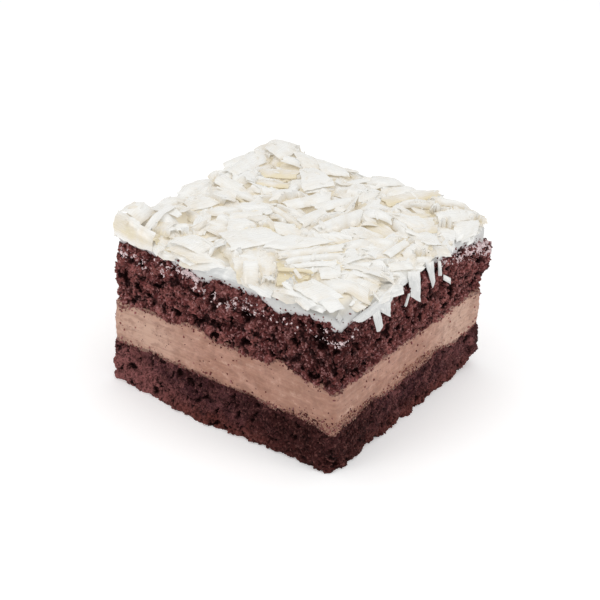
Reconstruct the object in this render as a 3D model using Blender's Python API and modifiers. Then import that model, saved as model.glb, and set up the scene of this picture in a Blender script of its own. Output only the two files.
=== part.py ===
# A cut square of layered chocolate cake: a thin cocoa sponge, chocolate cream, a
# thick cocoa sponge, and white cream under a loose layer of white chocolate shavings.
# Metres. The origin is the middle of the footprint at the foot of the cake. The
# corner that shows in front points to +X and -Y.

import math
import random

import bmesh
import bpy
from mathutils import Euler, Matrix, Vector, noise

MM = 0.001

# Sizes of the cut square and the heights of its layers
SIDE = 70 * MM
LOWER_SPONGE_TOP = 12 * MM
CHOCOLATE_CREAM_TOP = 24 * MM
UPPER_SPONGE_TOP = 41 * MM
WHITE_CREAM_TOP = 45.4 * MM
LAYER_GAP = 0.45 * MM

# How finely the cut sides are divided, across one side and up each layer
CELLS_ACROSS = 28
LOWER_SPONGE_ROWS = 5
CHOCOLATE_CREAM_ROWS = 3
UPPER_SPONGE_ROWS = 7
WHITE_CREAM_ROWS = 3
FLAT_WITHIN = math.radians(0.05)
SMOOTH_UNDER = math.radians(35)
NEAR = 1e-6

# Relief of the cut sides: how far crumbs stand out, and how wide they are
CRUMB_DEPTH = 1.1 * MM
CRUMB_WIDTH = 3.2 * MM
FINE_CRUMB_DEPTH = 0.35 * MM
FINE_CRUMB_WIDTH = 1.1 * MM
CREAM_DEPTH = 0.18 * MM
CREAM_WIDTH = 9 * MM
RELIEF_SHIFT = 3.7
FINE_RELIEF_SHIFT = 8.3
CORNER_ROUNDING = 0.5 * MM
SHOULDER_ROUNDING = 1.3 * MM

# Waves of the lines between the layers, where they show at the sides
LINE_WAVE_HEIGHT = 0.55 * MM
LINE_WAVE_LENGTH = 6 * MM
LINE_SHIFTS = (11.3, 23.9, 37.1)

# Larger dips and rises of those lines: x, y, radius and height in millimetres
UPPER_SPONGE_TOP_SWELLS = (
    (-6.7, -35, 3.0, -2.2),
    (17, -35, 3.5, -2.4),
    (35, -35, 3.0, -1.4),
    (35, -22, 3.0, -1.2),
    (35, 4, 9.0, 1.6),
    (35, 28, 3.0, -0.8),
    (35, 35, 5.5, -3.6),
)
CHOCOLATE_CREAM_TOP_SWELLS = (
    (-34, -35, 3.0, -1.0),
    (-9, -35, 5.0, 1.4),
    (19, -35, 4.0, 1.8),
    (35, -35, 3.0, -1.4),
    (35, 35, 3.0, -0.8),
)
LOWER_SPONGE_TOP_SWELLS = (
    (35, -35, 2.5, -1.2),
    (35, -19, 3.5, 1.5),
    (35, 14, 5.0, 1.4),
    (35, 35, 4.0, 0.9),
)

# Where a side stands out or is worn back: x, y, z, radius, height and outward shift
LOWER_SPONGE_BULGES = (
    (-8, -35, 0, 15, 7, 2.0),
    (35, 35, 8.5, 5, 4, 1.4),
    (35, 35, 0, 5, 3, -1.6),
    (10, 35, 1, 13, 6, 1.3),
)
UPPER_SPONGE_BULGES = (
    (35, 35, 35, 6, 7, 0.9),
    (35, 33, 26, 5, 3, -0.9),
)

# Shavings: rows of them each way on the cream, and the range of their sizes in
# millimetres and degrees
SHAVING_ROWS = 9
SHAVING_SPREAD = 0.4
SHAVING_LENGTHS = (8.5, 15.0)
SHAVING_WIDTHS = (4.2, 8.2)
SHAVING_THICKNESS = 0.7 * MM
SHAVING_CURLS = (-35, 75)
LEAST_CURL = 1
SHAVING_LEAN = 9
SHAVING_END_WIDTHS = ((0.35, 0.9), (0.15, 0.9))
SHAVING_MIDDLE_WIDTHS = (0.75, 1.05)
SHAVING_DRIFT = 0.12
SHAVING_SINK = 0.55 * MM
MOST_BRIDGING = 1.3 * MM
MOST_OVERHANG = 0.9 * MM
PILE_TOP = 51.5 * MM
SHAVING_SEGMENTS = 3
HEIGHT_CELLS = 70
SAMPLES_ALONG = 12
SAMPLES_ACROSS = 6
SIDE_CLEARANCE = 1.7 * MM
CREAM_CLEARANCE = 0.5 * MM
SPONGE_CLEARANCE = 0.35 * MM

# Large shavings with a place of their own. Millimetres and degrees: middle x, y, z,
# heading, pitch, roll, length, width and curl, which bends both ends down.
PLACED_SHAVINGS = (
    (-29.4, -34.3, 46.5, 6, 3, 60, 12.5, 10.0, 42),  # bent plate on the left corner
    (-33.2, -29.8, 49.0, 72, -5, 8, 10, 7.0, 30),
    (-19.8, -34.7, 44.7, -4, -3, 42, 10, 6.5, 20),
    (-7.0, -34.9, 45.1, 3, 2, 34, 13, 5.5, 15),  # plate along the left edge
    (5.0, -31.5, 45.4, -96, -24, 3, 17, 13.0, 62),  # broad plate hanging over the edge
    (9.5, -36.1, 43.3, -92, -62, 2, 8, 7.0, 25),
    (13.6, -24.5, 48.0, 68, 2, 24, 18, 4.2, 12),  # bundle of long strips
    (15.8, -25.8, 47.1, 72, 1, 28, 17, 3.8, 8),
    (18.0, -26.2, 46.2, 64, -2, 32, 15, 4.2, 10),
    (5.6, 4.0, 48.6, 76, 2, 0, 16, 5.5, 16),  # rolled curl
    (-0.8, -3.2, 47.8, 30, 0, 0, 12, 5.0, -70),  # open fold
    (-32.2, 16.0, 48.5, 84, 0, 13, 18, 8.5, 20),  # broad sheets on the far left edge
    (-31.0, 28.8, 48.0, 70, -3, 8, 15, 9.5, 24),
    (-33.0, -4.0, 47.3, 86, 3, 9, 15, 7.5, 24),
    (-33.4, -16.5, 46.5, 88, 2, 10, 12, 7.0, 26),
    (-23.5, 32.0, 47.0, -8, -3, 8, 14, 8.0, 26),
    (-8.5, 32.5, 46.8, 5, 2, 6, 13, 7.5, 22),
    (1.0, 22.5, 47.9, 60, 0, 5, 15, 8.0, 26),
    (10.5, 32.0, 48.0, 8, 4, 10, 15, 7.5, 22),
    (23.0, 32.2, 48.5, -5, -3, 10, 13, 7.5, 26),
    (33.0, -1.0, 46.3, 96, 4, 18, 14, 5.0, 18),  # strips along the right edge
    (34.0, -9.5, 45.4, 88, -3, 22, 10, 4.5, 10),
    (27.5, -27.5, 46.6, 38, 3, 8, 13, 7.0, 30),
)

# Narrow shards that hang down the right side: y, top, bottom and width in millimetres
HANGING_SHARDS = (
    (1.0, 45.2, 34.2, 3.0),
    (-19.6, 45.2, 33.4, 2.6),
    (6.2, 45.2, 37.0, 1.8),
    (13.6, 45.2, 36.4, 2.2),
    (-14.8, 45.2, 37.2, 2.4),
)
SHARD_STAND_OFF = 1.8 * MM
SHARD_LEAN_IN = 3.7 * MM
SHARD_BEND_HEIGHT = 43.7 * MM
SHARD_THICKNESS = 0.8 * MM
SHARD_TAPER = 0.35
SHARD_SLANT = 0.6

SEED = 41


def material(name, colour, roughness):
    made = bpy.data.materials.new(name)
    made.use_nodes = True
    shader = made.node_tree.nodes["Principled BSDF"]
    shader.inputs["Base Color"].default_value = (*colour, 1.0)
    shader.inputs["Roughness"].default_value = roughness
    shader.inputs["Metallic"].default_value = 0.0
    return made


def clear_scene():
    for old in list(bpy.data.objects):
        bpy.data.objects.remove(old, do_unlink=True)


def new_collection(name):
    made = bpy.data.collections.new(name)
    bpy.context.scene.collection.children.link(made)
    return made


def noise_at(x, y, z, width, shift):
    return noise.noise(Vector((x / width + shift, y / width - shift, z / width + 0.5 * shift)))


# A line between two layers: wavy where it shows, and flat one cell in from the sides
def layer_line(level, swells, shift):
    cell = SIDE / CELLS_ACROSS
    half = SIDE / 2

    def height(x, y):
        at_side = max(0.0, (max(abs(x), abs(y)) - (half - cell)) / cell)
        side_x = math.copysign(half, x) if abs(x) >= abs(y) else x
        side_y = math.copysign(half, y) if abs(y) > abs(x) else y
        wave = LINE_WAVE_HEIGHT * noise_at(side_x, side_y, 0.0, LINE_WAVE_LENGTH, shift)
        for swell_x, swell_y, radius, rise in swells:
            away = math.hypot(side_x / MM - swell_x, side_y / MM - swell_y) / radius
            wave += rise * MM * math.exp(-away * away)
        return level + at_side * wave

    return height


# How far a cut side stands out at a point: crumb relief plus the larger bulges
def side_relief(depth, width, fine_depth, bulges):
    def shift(x, y, z):
        out = depth * noise_at(x, y, z, width, RELIEF_SHIFT)
        out += fine_depth * noise_at(x, y, z, FINE_CRUMB_WIDTH, FINE_RELIEF_SHIFT)
        for bulge_x, bulge_y, bulge_z, radius, tall, rise in bulges:
            away = math.hypot(x / MM - bulge_x, y / MM - bulge_y) / radius
            up = (z / MM - bulge_z) / tall
            out += rise * MM * math.exp(-away * away - up * up)
        return out

    return shift


# Splits the top and bottom cells along one diagonal, so that neighbours' faces match
def split_alike(mesh):
    mesh.normal_update()
    for face in list(mesh.faces):
        if abs(face.normal.z) > 0.5:
            low = min(face.verts, key=lambda point: point.co.x + point.co.y)
            high = max(face.verts, key=lambda point: point.co.x + point.co.y)
            bmesh.utils.face_split(face, low, high)


# A slab of cake: a cube divided into cells, with each point then moved to its place
def make_layer(collection, name, bottom, top, rows, relief, look, shoulder=0.0):
    mesh = bmesh.new()
    bmesh.ops.create_cube(mesh, size=1.0)
    for axis, cells in enumerate((CELLS_ACROSS, CELLS_ACROSS, rows)):
        along = []
        for edge in mesh.edges:
            run = edge.verts[1].co - edge.verts[0].co
            if abs(run[axis]) > NEAR:
                along.append(edge)
        bmesh.ops.subdivide_edges(mesh, edges=along, cuts=cells - 1, use_grid_fill=True)
    split_alike(mesh)
    edge_of_cube = 0.5 - NEAR
    for point in mesh.verts:
        u, v, w = point.co
        x = u * SIDE
        y = v * SIDE
        lift = w + 0.5
        z = bottom(x, y) + lift * (top(x, y) - bottom(x, y))
        faces_x = abs(u) > edge_of_cube
        faces_y = abs(v) > edge_of_cube
        if faces_x or faces_y:
            out = relief(x, y, z)
            out -= shoulder * max(0.0, 2 * lift - 1) ** 2
            if faces_x and faces_y:
                out -= CORNER_ROUNDING
            x += out * math.copysign(1, u) if faces_x else 0.0
            y += out * math.copysign(1, v) if faces_y else 0.0
            z = bottom(x, y) + lift * (top(x, y) - bottom(x, y))
        point.co = (x, y, z)
    bmesh.ops.dissolve_limit(
        mesh, angle_limit=FLAT_WITHIN, verts=list(mesh.verts), edges=list(mesh.edges)
    )
    bmesh.ops.triangulate(mesh, faces=list(mesh.faces))
    data = bpy.data.meshes.new(name)
    mesh.to_mesh(data)
    mesh.free()
    data.materials.append(look)
    data.shade_smooth()
    data.set_sharp_from_angle(angle=SMOOTH_UNDER)
    made = bpy.data.objects.new(name, data)
    collection.objects.link(made)
    return made


# The outline of a shaving: its width and sideways drift at four stations along it
def random_outline(draw):
    first, last = SHAVING_END_WIDTHS
    ranges = (first, SHAVING_MIDDLE_WIDTHS, SHAVING_MIDDLE_WIDTHS, last)
    widths = [draw.uniform(*limits) for limits in ranges]
    drifts = [draw.uniform(-SHAVING_DRIFT, SHAVING_DRIFT) for _ in widths]
    return widths, drifts


def between(stations, share):
    place = share * (len(stations) - 1)
    first = min(int(place), len(stations) - 2)
    return stations[first] + (place - first) * (stations[first + 1] - stations[first])


# A point of a shaving before it is turned: s runs along it and t across, both 0 to 1
def shaving_point(s, t, length, width, curl, outline):
    widths, drifts = outline
    bend = math.radians(curl if abs(curl) > LEAST_CURL else LEAST_CURL)
    radius = length / bend
    angle = bend * (s - 0.5)
    across = (t - 0.5) * between(widths, s) + between(drifts, s)
    return Vector((radius * math.sin(angle), width * across, radius * (math.cos(angle) - 1)))


def shaving_turn(heading, pitch, roll):
    turn = Euler((math.radians(roll), math.radians(-pitch), math.radians(heading)), "XYZ")
    return turn.to_matrix()


# A thin wavy sheet, triangulated before it gets its thickness so both faces split alike
def add_shaving(collection, place, turn, length, width, curl, outline, line, look):
    mesh = bmesh.new()
    bmesh.ops.create_grid(mesh, x_segments=SHAVING_SEGMENTS, y_segments=1, size=0.5)
    for point in mesh.verts:
        bent = shaving_point(point.co.x + 0.5, point.co.y + 0.5, length, width, curl, outline)
        point.co = place + turn @ bent
        over_cake = max(abs(point.co.x), abs(point.co.y)) < SIDE / 2 + SIDE_CLEARANCE
        lowest = line(point.co.x, point.co.y) + CREAM_CLEARANCE + SHAVING_THICKNESS
        if over_cake and point.co.z < lowest:
            point.co.z = lowest
        point.co.z = min(point.co.z, PILE_TOP)
    bmesh.ops.triangulate(mesh, faces=list(mesh.faces))
    data = bpy.data.meshes.new("shaving")
    mesh.to_mesh(data)
    mesh.free()
    data.materials.append(look)
    made = bpy.data.objects.new("shaving", data)
    collection.objects.link(made)
    wall = made.modifiers.new("thickness", "SOLIDIFY")
    wall.thickness = SHAVING_THICKNESS
    wall.offset = 0.0


# Heights of the pile so far, in square cells over the cake
class PileHeights:
    def __init__(self, start):
        self.rows = [[start] * HEIGHT_CELLS for _ in range(HEIGHT_CELLS)]

    def cell(self, x, y):
        column = int((x / SIDE + 0.5) * HEIGHT_CELLS)
        row = int((y / SIDE + 0.5) * HEIGHT_CELLS)
        if 0 <= column < HEIGHT_CELLS and 0 <= row < HEIGHT_CELLS:
            return row, column
        return None

    def at(self, x, y):
        found = self.cell(x, y)
        return self.rows[found[0]][found[1]] if found else None

    def raise_to(self, x, y, z):
        found = self.cell(x, y)
        if found:
            self.rows[found[0]][found[1]] = max(self.rows[found[0]][found[1]], z)


def sheet_samples(length, width, curl, outline, turn):
    samples = []
    for i in range(SAMPLES_ALONG + 1):
        for j in range(SAMPLES_ACROSS + 1):
            s = i / SAMPLES_ALONG
            t = j / SAMPLES_ACROSS
            samples.append(turn @ shaving_point(s, t, length, width, curl, outline))
    return samples


# Lays a shaving on the pile: it drops until it touches, then settles in a little
def rest_height(pile, x, y, samples):
    gaps = []
    for point in samples:
        under = pile.at(x + point.x, y + point.y)
        if under is not None:
            gaps.append(under - point.z)
    touching = max(gaps) - SHAVING_SINK
    bridging = sum(gaps) / len(gaps) + MOST_BRIDGING
    return min(touching, bridging) + SHAVING_THICKNESS / 2


# Moves a shaving inwards until it hangs past the sides by no more than a little
def held_in(centre_at, reach):
    most = SIDE / 2 + MOST_OVERHANG
    low = min(reach)
    high = max(reach)
    return max(-most - low, min(most - high, centre_at))


def pile_up(pile, x, y, z, samples):
    for point in samples:
        pile.raise_to(x + point.x, y + point.y, z + point.z + SHAVING_THICKNESS / 2)


def scatter_shavings(collection, line, look):
    draw = random.Random(SEED)
    pile = PileHeights(WHITE_CREAM_TOP)
    spacing = SIDE / SHAVING_ROWS
    places = []
    for row in range(SHAVING_ROWS):
        for column in range(SHAVING_ROWS):
            across = column + 0.5 + draw.uniform(-SHAVING_SPREAD, SHAVING_SPREAD)
            along = row + 0.5 + draw.uniform(-SHAVING_SPREAD, SHAVING_SPREAD)
            places.append((across * spacing - SIDE / 2, along * spacing - SIDE / 2))
    draw.shuffle(places)
    for x, y in places:
        length = draw.uniform(*SHAVING_LENGTHS) * MM
        width = draw.uniform(*SHAVING_WIDTHS) * MM
        curl = draw.uniform(*SHAVING_CURLS)
        outline = random_outline(draw)
        lean = (draw.gauss(0, SHAVING_LEAN), draw.gauss(0, SHAVING_LEAN))
        turn = shaving_turn(draw.uniform(0, 360), *lean)
        samples = sheet_samples(length, width, curl, outline, turn)
        x = held_in(x, [point.x for point in samples])
        y = held_in(y, [point.y for point in samples])
        z = rest_height(pile, x, y, samples)
        pile_up(pile, x, y, z, samples)
        add_shaving(
            collection, Vector((x, y, z)), turn, length, width, curl, outline, line, look
        )


def place_large_shavings(collection, line, look):
    draw = random.Random(SEED + 1)
    for x, y, z, heading, pitch, roll, length, width, curl in PLACED_SHAVINGS:
        outline = random_outline(draw)
        turn = shaving_turn(heading, pitch, roll)
        place = Vector((x, y, z)) * MM
        add_shaving(
            collection, place, turn, length * MM, width * MM, curl, outline, line, look
        )


# A shard hangs clear of the sponge: a tapered plate that bends back into the cream
def hang_shards(collection, look):
    for y, top, bottom, width in HANGING_SHARDS:
        mesh = bmesh.new()
        bmesh.ops.create_cube(mesh, size=1.0)
        upright = [edge for edge in mesh.edges if edge.verts[0].co.z != edge.verts[1].co.z]
        bmesh.ops.subdivide_edges(mesh, edges=upright, cuts=1, use_grid_fill=True)
        for point in mesh.verts:
            u, v, w = point.co
            taper = 1 - SHARD_TAPER * (0.5 - w)
            lean = SHARD_LEAN_IN if w > 0.25 else 0.0
            height = SHARD_BEND_HEIGHT
            if w > 0.25:
                height = top * MM
            if w < -0.25:
                height = (bottom + v * width * SHARD_SLANT) * MM
            point.co = (
                SIDE / 2 + SHARD_STAND_OFF + u * SHARD_THICKNESS - lean,
                y * MM + v * width * MM * taper,
                height,
            )
        bmesh.ops.triangulate(mesh, faces=list(mesh.faces))
        data = bpy.data.meshes.new("shard")
        mesh.to_mesh(data)
        mesh.free()
        data.materials.append(look)
        collection.objects.link(bpy.data.objects.new("shard", data))


def apply_modifiers(made):
    bpy.context.view_layer.update()
    result = made.evaluated_get(bpy.context.evaluated_depsgraph_get())
    data = bpy.data.meshes.new_from_object(result)
    made.modifiers.clear()
    made.data = data


# A slightly wider and higher copy of a layer, to keep what hangs past it clear of it
def room_for(layer, collection):
    cutter = layer.copy()
    cutter.data = layer.data.copy()
    cutter.name = "room_for_" + layer.name
    inner = SIDE / 2 - SIDE / CELLS_ACROSS / 2
    for point in cutter.data.vertices:
        for axis in (0, 1):
            if abs(point.co[axis]) > inner:
                point.co[axis] += math.copysign(SPONGE_CLEARANCE, point.co[axis])
        point.co.z += LAYER_GAP / 3
    cutter.hide_render = True
    cutter.display_type = "WIRE"
    collection.objects.link(cutter)
    return cutter


def cut(base, cutter):
    clear = base.modifiers.new("clear", "BOOLEAN")
    clear.operation = "DIFFERENCE"
    clear.solver = "MANIFOLD"
    clear.object = cutter
    apply_modifiers(base)


def fuse(base, collection):
    join = base.modifiers.new("join", "BOOLEAN")
    join.operation = "UNION"
    join.solver = "MANIFOLD"
    join.operand_type = "COLLECTION"
    join.collection = collection
    apply_modifiers(base)
    for piece in list(collection.objects):
        bpy.data.objects.remove(piece, do_unlink=True)
    bpy.data.collections.remove(collection)


def shell_volume(faces):
    volume = 0.0
    for face in faces:
        first, second, third = (corner.co for corner in face.verts)
        volume += first.dot(second.cross(third)) / 6
    return volume


# Fills hollows that the joining sealed and drops scraps that touch nothing
def keep_largest_shell(made):
    mesh = bmesh.new()
    mesh.from_mesh(made.data)
    bmesh.ops.triangulate(mesh, faces=list(mesh.faces))
    unseen = set(mesh.faces)
    shells = []
    while unseen:
        shell = []
        waiting = [unseen.pop()]
        while waiting:
            face = waiting.pop()
            shell.append(face)
            for edge in face.edges:
                for other in edge.link_faces:
                    if other in unseen:
                        unseen.remove(other)
                        waiting.append(other)
        shells.append(shell)
    shells.sort(key=shell_volume)
    for shell in shells[:-1]:
        bmesh.ops.delete(mesh, geom=shell, context="FACES")
    mesh.to_mesh(made.data)
    mesh.free()


# The pieces' common middle goes over the origin
def centre(made_objects):
    corners = [point.co for made in made_objects for point in made.data.vertices]
    middle = Vector((0, 0, 0))
    for axis in (0, 1):
        reach = [corner[axis] for corner in corners]
        middle[axis] = (min(reach) + max(reach)) / 2
    for made in made_objects:
        made.data.transform(Matrix.Translation(-middle))


def main():
    clear_scene()
    cake = new_collection("layer_cake")
    shavings = new_collection("shavings")
    cutters = new_collection("cutters")

    cocoa_sponge = material("cocoa_sponge", (0.075, 0.028, 0.027), 0.85)
    chocolate_cream_look = material("chocolate_cream", (0.42, 0.25, 0.19), 0.5)
    white_look = material("white_chocolate", (0.80, 0.77, 0.69), 0.45)

    def floor(x, y):
        return 0.0

    def flat_top(x, y):
        return WHITE_CREAM_TOP

    def above(line):
        return lambda x, y: line(x, y) + LAYER_GAP / 2

    def below(line):
        return lambda x, y: line(x, y) - LAYER_GAP / 2

    low, middle, high = LINE_SHIFTS
    lower_line = layer_line(LOWER_SPONGE_TOP, LOWER_SPONGE_TOP_SWELLS, low)
    middle_line = layer_line(CHOCOLATE_CREAM_TOP, CHOCOLATE_CREAM_TOP_SWELLS, middle)
    upper_line = layer_line(UPPER_SPONGE_TOP, UPPER_SPONGE_TOP_SWELLS, high)

    lower_relief = side_relief(
        CRUMB_DEPTH, CRUMB_WIDTH, FINE_CRUMB_DEPTH, LOWER_SPONGE_BULGES
    )
    upper_relief = side_relief(
        CRUMB_DEPTH, CRUMB_WIDTH, FINE_CRUMB_DEPTH, UPPER_SPONGE_BULGES
    )
    cream_relief = side_relief(CREAM_DEPTH, CREAM_WIDTH, 0.0, ())

    lower_sponge = make_layer(
        cake, "lower_sponge", floor, below(lower_line), LOWER_SPONGE_ROWS, lower_relief,
        cocoa_sponge,
    )
    chocolate_cream = make_layer(
        cake, "chocolate_cream", above(lower_line), below(middle_line),
        CHOCOLATE_CREAM_ROWS, cream_relief, chocolate_cream_look,
    )
    upper_sponge = make_layer(
        cake, "upper_sponge", above(middle_line), below(upper_line), UPPER_SPONGE_ROWS,
        upper_relief, cocoa_sponge,
    )
    white_cream = make_layer(
        cake, "white_cream", above(upper_line), flat_top, WHITE_CREAM_ROWS, cream_relief,
        white_look, SHOULDER_ROUNDING,
    )
    scatter_shavings(shavings, upper_line, white_look)
    place_large_shavings(shavings, upper_line, white_look)
    hang_shards(shavings, white_look)
    fuse(white_cream, shavings)
    cut(white_cream, room_for(upper_sponge, cutters))
    keep_largest_shell(white_cream)
    centre((lower_sponge, chocolate_cream, upper_sponge, white_cream))


main()
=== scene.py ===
import math
import random

import bpy
import numpy as np
from mathutils import Euler, Matrix, Vector, noise


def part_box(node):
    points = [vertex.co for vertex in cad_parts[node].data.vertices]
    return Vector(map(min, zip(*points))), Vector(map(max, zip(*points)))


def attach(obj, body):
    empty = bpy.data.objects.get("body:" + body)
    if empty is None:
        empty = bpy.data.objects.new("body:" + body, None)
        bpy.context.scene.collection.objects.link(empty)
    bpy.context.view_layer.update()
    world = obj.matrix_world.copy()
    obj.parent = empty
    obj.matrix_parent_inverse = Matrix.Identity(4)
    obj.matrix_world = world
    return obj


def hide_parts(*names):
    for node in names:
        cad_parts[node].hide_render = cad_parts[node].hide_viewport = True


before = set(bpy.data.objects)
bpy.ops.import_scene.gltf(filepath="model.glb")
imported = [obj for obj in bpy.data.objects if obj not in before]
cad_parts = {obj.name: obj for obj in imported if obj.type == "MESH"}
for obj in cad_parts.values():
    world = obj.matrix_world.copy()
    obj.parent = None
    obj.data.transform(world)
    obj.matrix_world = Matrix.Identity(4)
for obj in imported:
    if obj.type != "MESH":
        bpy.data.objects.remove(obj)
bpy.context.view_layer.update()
print("frame loaded:", sorted(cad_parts))

mm = 0.001

# the cake's own middle, in the row frame
creamLow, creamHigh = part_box("chocolate_cream")
middleX = (creamLow.x + creamHigh.x) / 2
middleY = (creamLow.y + creamHigh.y) / 2

cake = {
    "side": 70 * mm,
    "lowerTop": 12 * mm,
    "creamTop": 24 * mm,
    "upperTop": 41 * mm,
    "whiteTop": 45.4 * mm,
    "upperHeight": 17 * mm,
    "lineCell": 2.5 * mm,      # the lines between layers are wavy only this near a side
    "cornerRadius": 0.9 * mm,
    "waveHeight": 0.55 * mm,
    "waveLength": 6 * mm,
    "shifts": (11.3, 23.9, 37.1),           # set the three lines' noise apart
    "reliefShifts": (3.7, 8.3),             # set the coarse and the fine relief apart
    "fineWidth": 1.1 * mm,
}
half = cake["side"] / 2


# The photo's view: the camera, and where things picked in the photo lie on the cake.

view = {
    "azimuth": 34.0,
    "elevation": 28.7,
    "roll": 3.53,
    "lens": 87.0,
    "sensor": 36.0,
    "pixels": 600,             # the photo's width and height
    "place": (0.1928, -0.2869, 0.2111),     # from the cake's middle
}


def viewTurn():
    azimuth = math.radians(view["azimuth"])
    elevation = math.radians(view["elevation"])
    back = Vector((
        math.sin(azimuth) * math.cos(elevation), -math.cos(azimuth) * math.cos(elevation),
        math.sin(elevation),
    ))
    return back.to_track_quat("Z", "Y").to_matrix() @ Matrix.Rotation(math.radians(view["roll"]), 3, "Z")


def photoPoint(across, down, axis, level):
    # where a place in the photo, in pixels, meets a plane at a level on an axis, in mm from the cake's middle
    reach = view["lens"] / view["sensor"] * view["pixels"]
    centre = view["pixels"] / 2
    ray = np.array(viewTurn() @ Vector(((across - centre) / reach, (centre - down) / reach, -1.0)))
    place = np.array(view["place"]) / mm
    return place + ray * (level - place[axis]) / ray[axis]


# Small helpers.

class Wire:
    # a socket in a node tree: sums on it add Math or Vector Math nodes
    def __init__(self, graph, socket):
        self.graph = graph
        self.socket = socket

    def __add__(self, other):
        return self.graph.maths("ADD", self, other)

    def __radd__(self, other):
        return self.graph.maths("ADD", other, self)

    def __sub__(self, other):
        return self.graph.maths("SUBTRACT", self, other)

    def __rsub__(self, other):
        return self.graph.maths("SUBTRACT", other, self)

    def __mul__(self, other):
        return self.graph.maths("MULTIPLY", self, other)

    def __rmul__(self, other):
        return self.graph.maths("MULTIPLY", other, self)

    def __rtruediv__(self, other):
        return self.graph.maths("DIVIDE", other, self)

    def between(self, low, high):
        # 0 at low, 1 at high, smooth in the middle and held outside
        settings = {"interpolation_type": "SMOOTHSTEP"}
        sockets = {"Value": self, "From Min": low, "From Max": high}
        return self.graph.add("ShaderNodeMapRange", settings, sockets)


class Graph:
    def __init__(self, tree):
        self.tree = tree

    def add(self, kind, settings=None, sockets=None, output=0):
        node = self.tree.nodes.new(kind)
        for name, value in (settings or {}).items():
            setattr(node, name, value)
        for key, value in (sockets or {}).items():
            if isinstance(value, Wire):
                self.tree.links.new(value.socket, node.inputs[key])
            else:
                node.inputs[key].default_value = value
        return Wire(self, node.outputs[output])

    def maths(self, operation, first, second):
        wires = [x for x in (first, second) if isinstance(x, Wire)]
        if not any(w.socket.type == "VECTOR" for w in wires):
            return self.add("ShaderNodeMath", {"operation": operation}, {0: first, 1: second})
        vector, other = (first, second) if self.isVector(first) else (second, first)
        if operation == "MULTIPLY" and not self.isVector(other):
            return self.add("ShaderNodeVectorMath", {"operation": "SCALE"}, {0: vector, "Scale": other})
        return self.add("ShaderNodeVectorMath", {"operation": operation}, {0: first, 1: second})

    def isVector(self, value):
        if isinstance(value, Wire):
            return value.socket.type == "VECTOR"
        return isinstance(value, (tuple, list, Vector))

    def noise(self, where, scale, detail=2.0, roughness=0.5):
        sockets = {"Vector": where, "Scale": scale, "Detail": detail, "Roughness": roughness}
        return self.add("ShaderNodeTexNoise", None, sockets)

    def cells(self, where, scale):
        # the distance from the middle of the nearest cell
        return self.add("ShaderNodeTexVoronoi", None, {"Vector": where, "Scale": scale})

    def spots(self, where, scale):
        # a random value, 0 to 1, for each small cell
        colour = self.add("ShaderNodeTexVoronoi", None, {"Vector": where, "Scale": scale}, 1)
        return self.add("ShaderNodeSeparateXYZ", None, {0: colour})

    def blend(self, factor, first, second):
        # colours are mixed here, never by Math nodes
        sockets = {0: factor, 6: colourOf(first), 7: colourOf(second)}
        return self.add("ShaderNodeMix", {"data_type": "RGBA"}, sockets, 2)

    def stretched(self, where, scale):
        return self.add("ShaderNodeMapping", None, {"Vector": where, "Scale": scale})

    def objectPlace(self):
        return self.add("ShaderNodeTexCoord", None, None, 3)

    def stored(self, name, output=2):
        # a value stored on the mesh: output 2 gives a number, output 1 a vector
        return self.add("ShaderNodeAttribute", {"attribute_name": name}, None, output)


def colourOf(value):
    return value if isinstance(value, Wire) else (*value, 1.0)


def newLook(name, constants):
    # a material with its Principled BSDF; constants go straight onto the shader's sockets
    look = bpy.data.materials.new(name)
    look.use_nodes = True
    graph = Graph(look.node_tree)
    shader = look.node_tree.nodes["Principled BSDF"]
    for socket, value in constants.items():
        shader.inputs[socket].default_value = value
    return look, graph, shader


def feed(graph, shader, socket, wire):
    graph.tree.links.new(wire.socket, shader.inputs[socket])


def feedBump(graph, shader, strength, distance, height):
    sockets = {"Strength": strength, "Distance": distance, "Height": height}
    feed(graph, shader, "Normal", graph.add("ShaderNodeBump", None, sockets))


def geometryTree(name, inputs):
    # a Geometry Nodes tree with named float inputs; returns its graph, its inputs and a closing call
    tree = bpy.data.node_groups.new(name, "GeometryNodeTree")
    tree.interface.new_socket("Geometry", in_out="INPUT", socket_type="NodeSocketGeometry")
    for label in inputs:
        tree.interface.new_socket(label, in_out="INPUT", socket_type="NodeSocketFloat")
    tree.interface.new_socket("Geometry", in_out="OUTPUT", socket_type="NodeSocketGeometry")
    graph = Graph(tree)
    start = tree.nodes.new("NodeGroupInput")
    wires = {socket.name: Wire(graph, socket) for socket in start.outputs if socket.name}

    def close(geometry, look):
        real = graph.add("GeometryNodeRealizeInstances", None, {"Geometry": geometry})
        finished = graph.add("GeometryNodeSetMaterial", None, {"Geometry": real, "Material": look})
        end = tree.nodes.new("NodeGroupOutput")
        tree.links.new(finished.socket, end.inputs[0])

    return graph, wires, close


def runTree(piece, tree, values):
    # sets the tree's inputs by identifier, then bakes the result into a plain mesh
    modifier = piece.modifiers.new("shape", "NODES")
    modifier.node_group = tree
    for item in tree.interface.items_tree:
        if item.item_type == "SOCKET" and item.in_out == "INPUT" and item.name in values:
            modifier[item.identifier] = values[item.name]
    bpy.context.view_layer.update()
    graph = bpy.context.evaluated_depsgraph_get()
    made = bpy.data.meshes.new_from_object(
        piece.evaluated_get(graph), preserve_all_data_layers=True, depsgraph=graph
    )
    piece.modifiers.clear()
    piece.data = made


def newPiece(name, points, faces, look=None):
    mesh = bpy.data.meshes.new(name)
    mesh.from_pydata(np.asarray(points).tolist(), [], faces)
    mesh.update()
    if look:
        mesh.materials.append(look)
    mesh.shade_smooth()
    piece = bpy.data.objects.new(name, mesh)
    bpy.context.scene.collection.objects.link(piece)
    return piece


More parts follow.
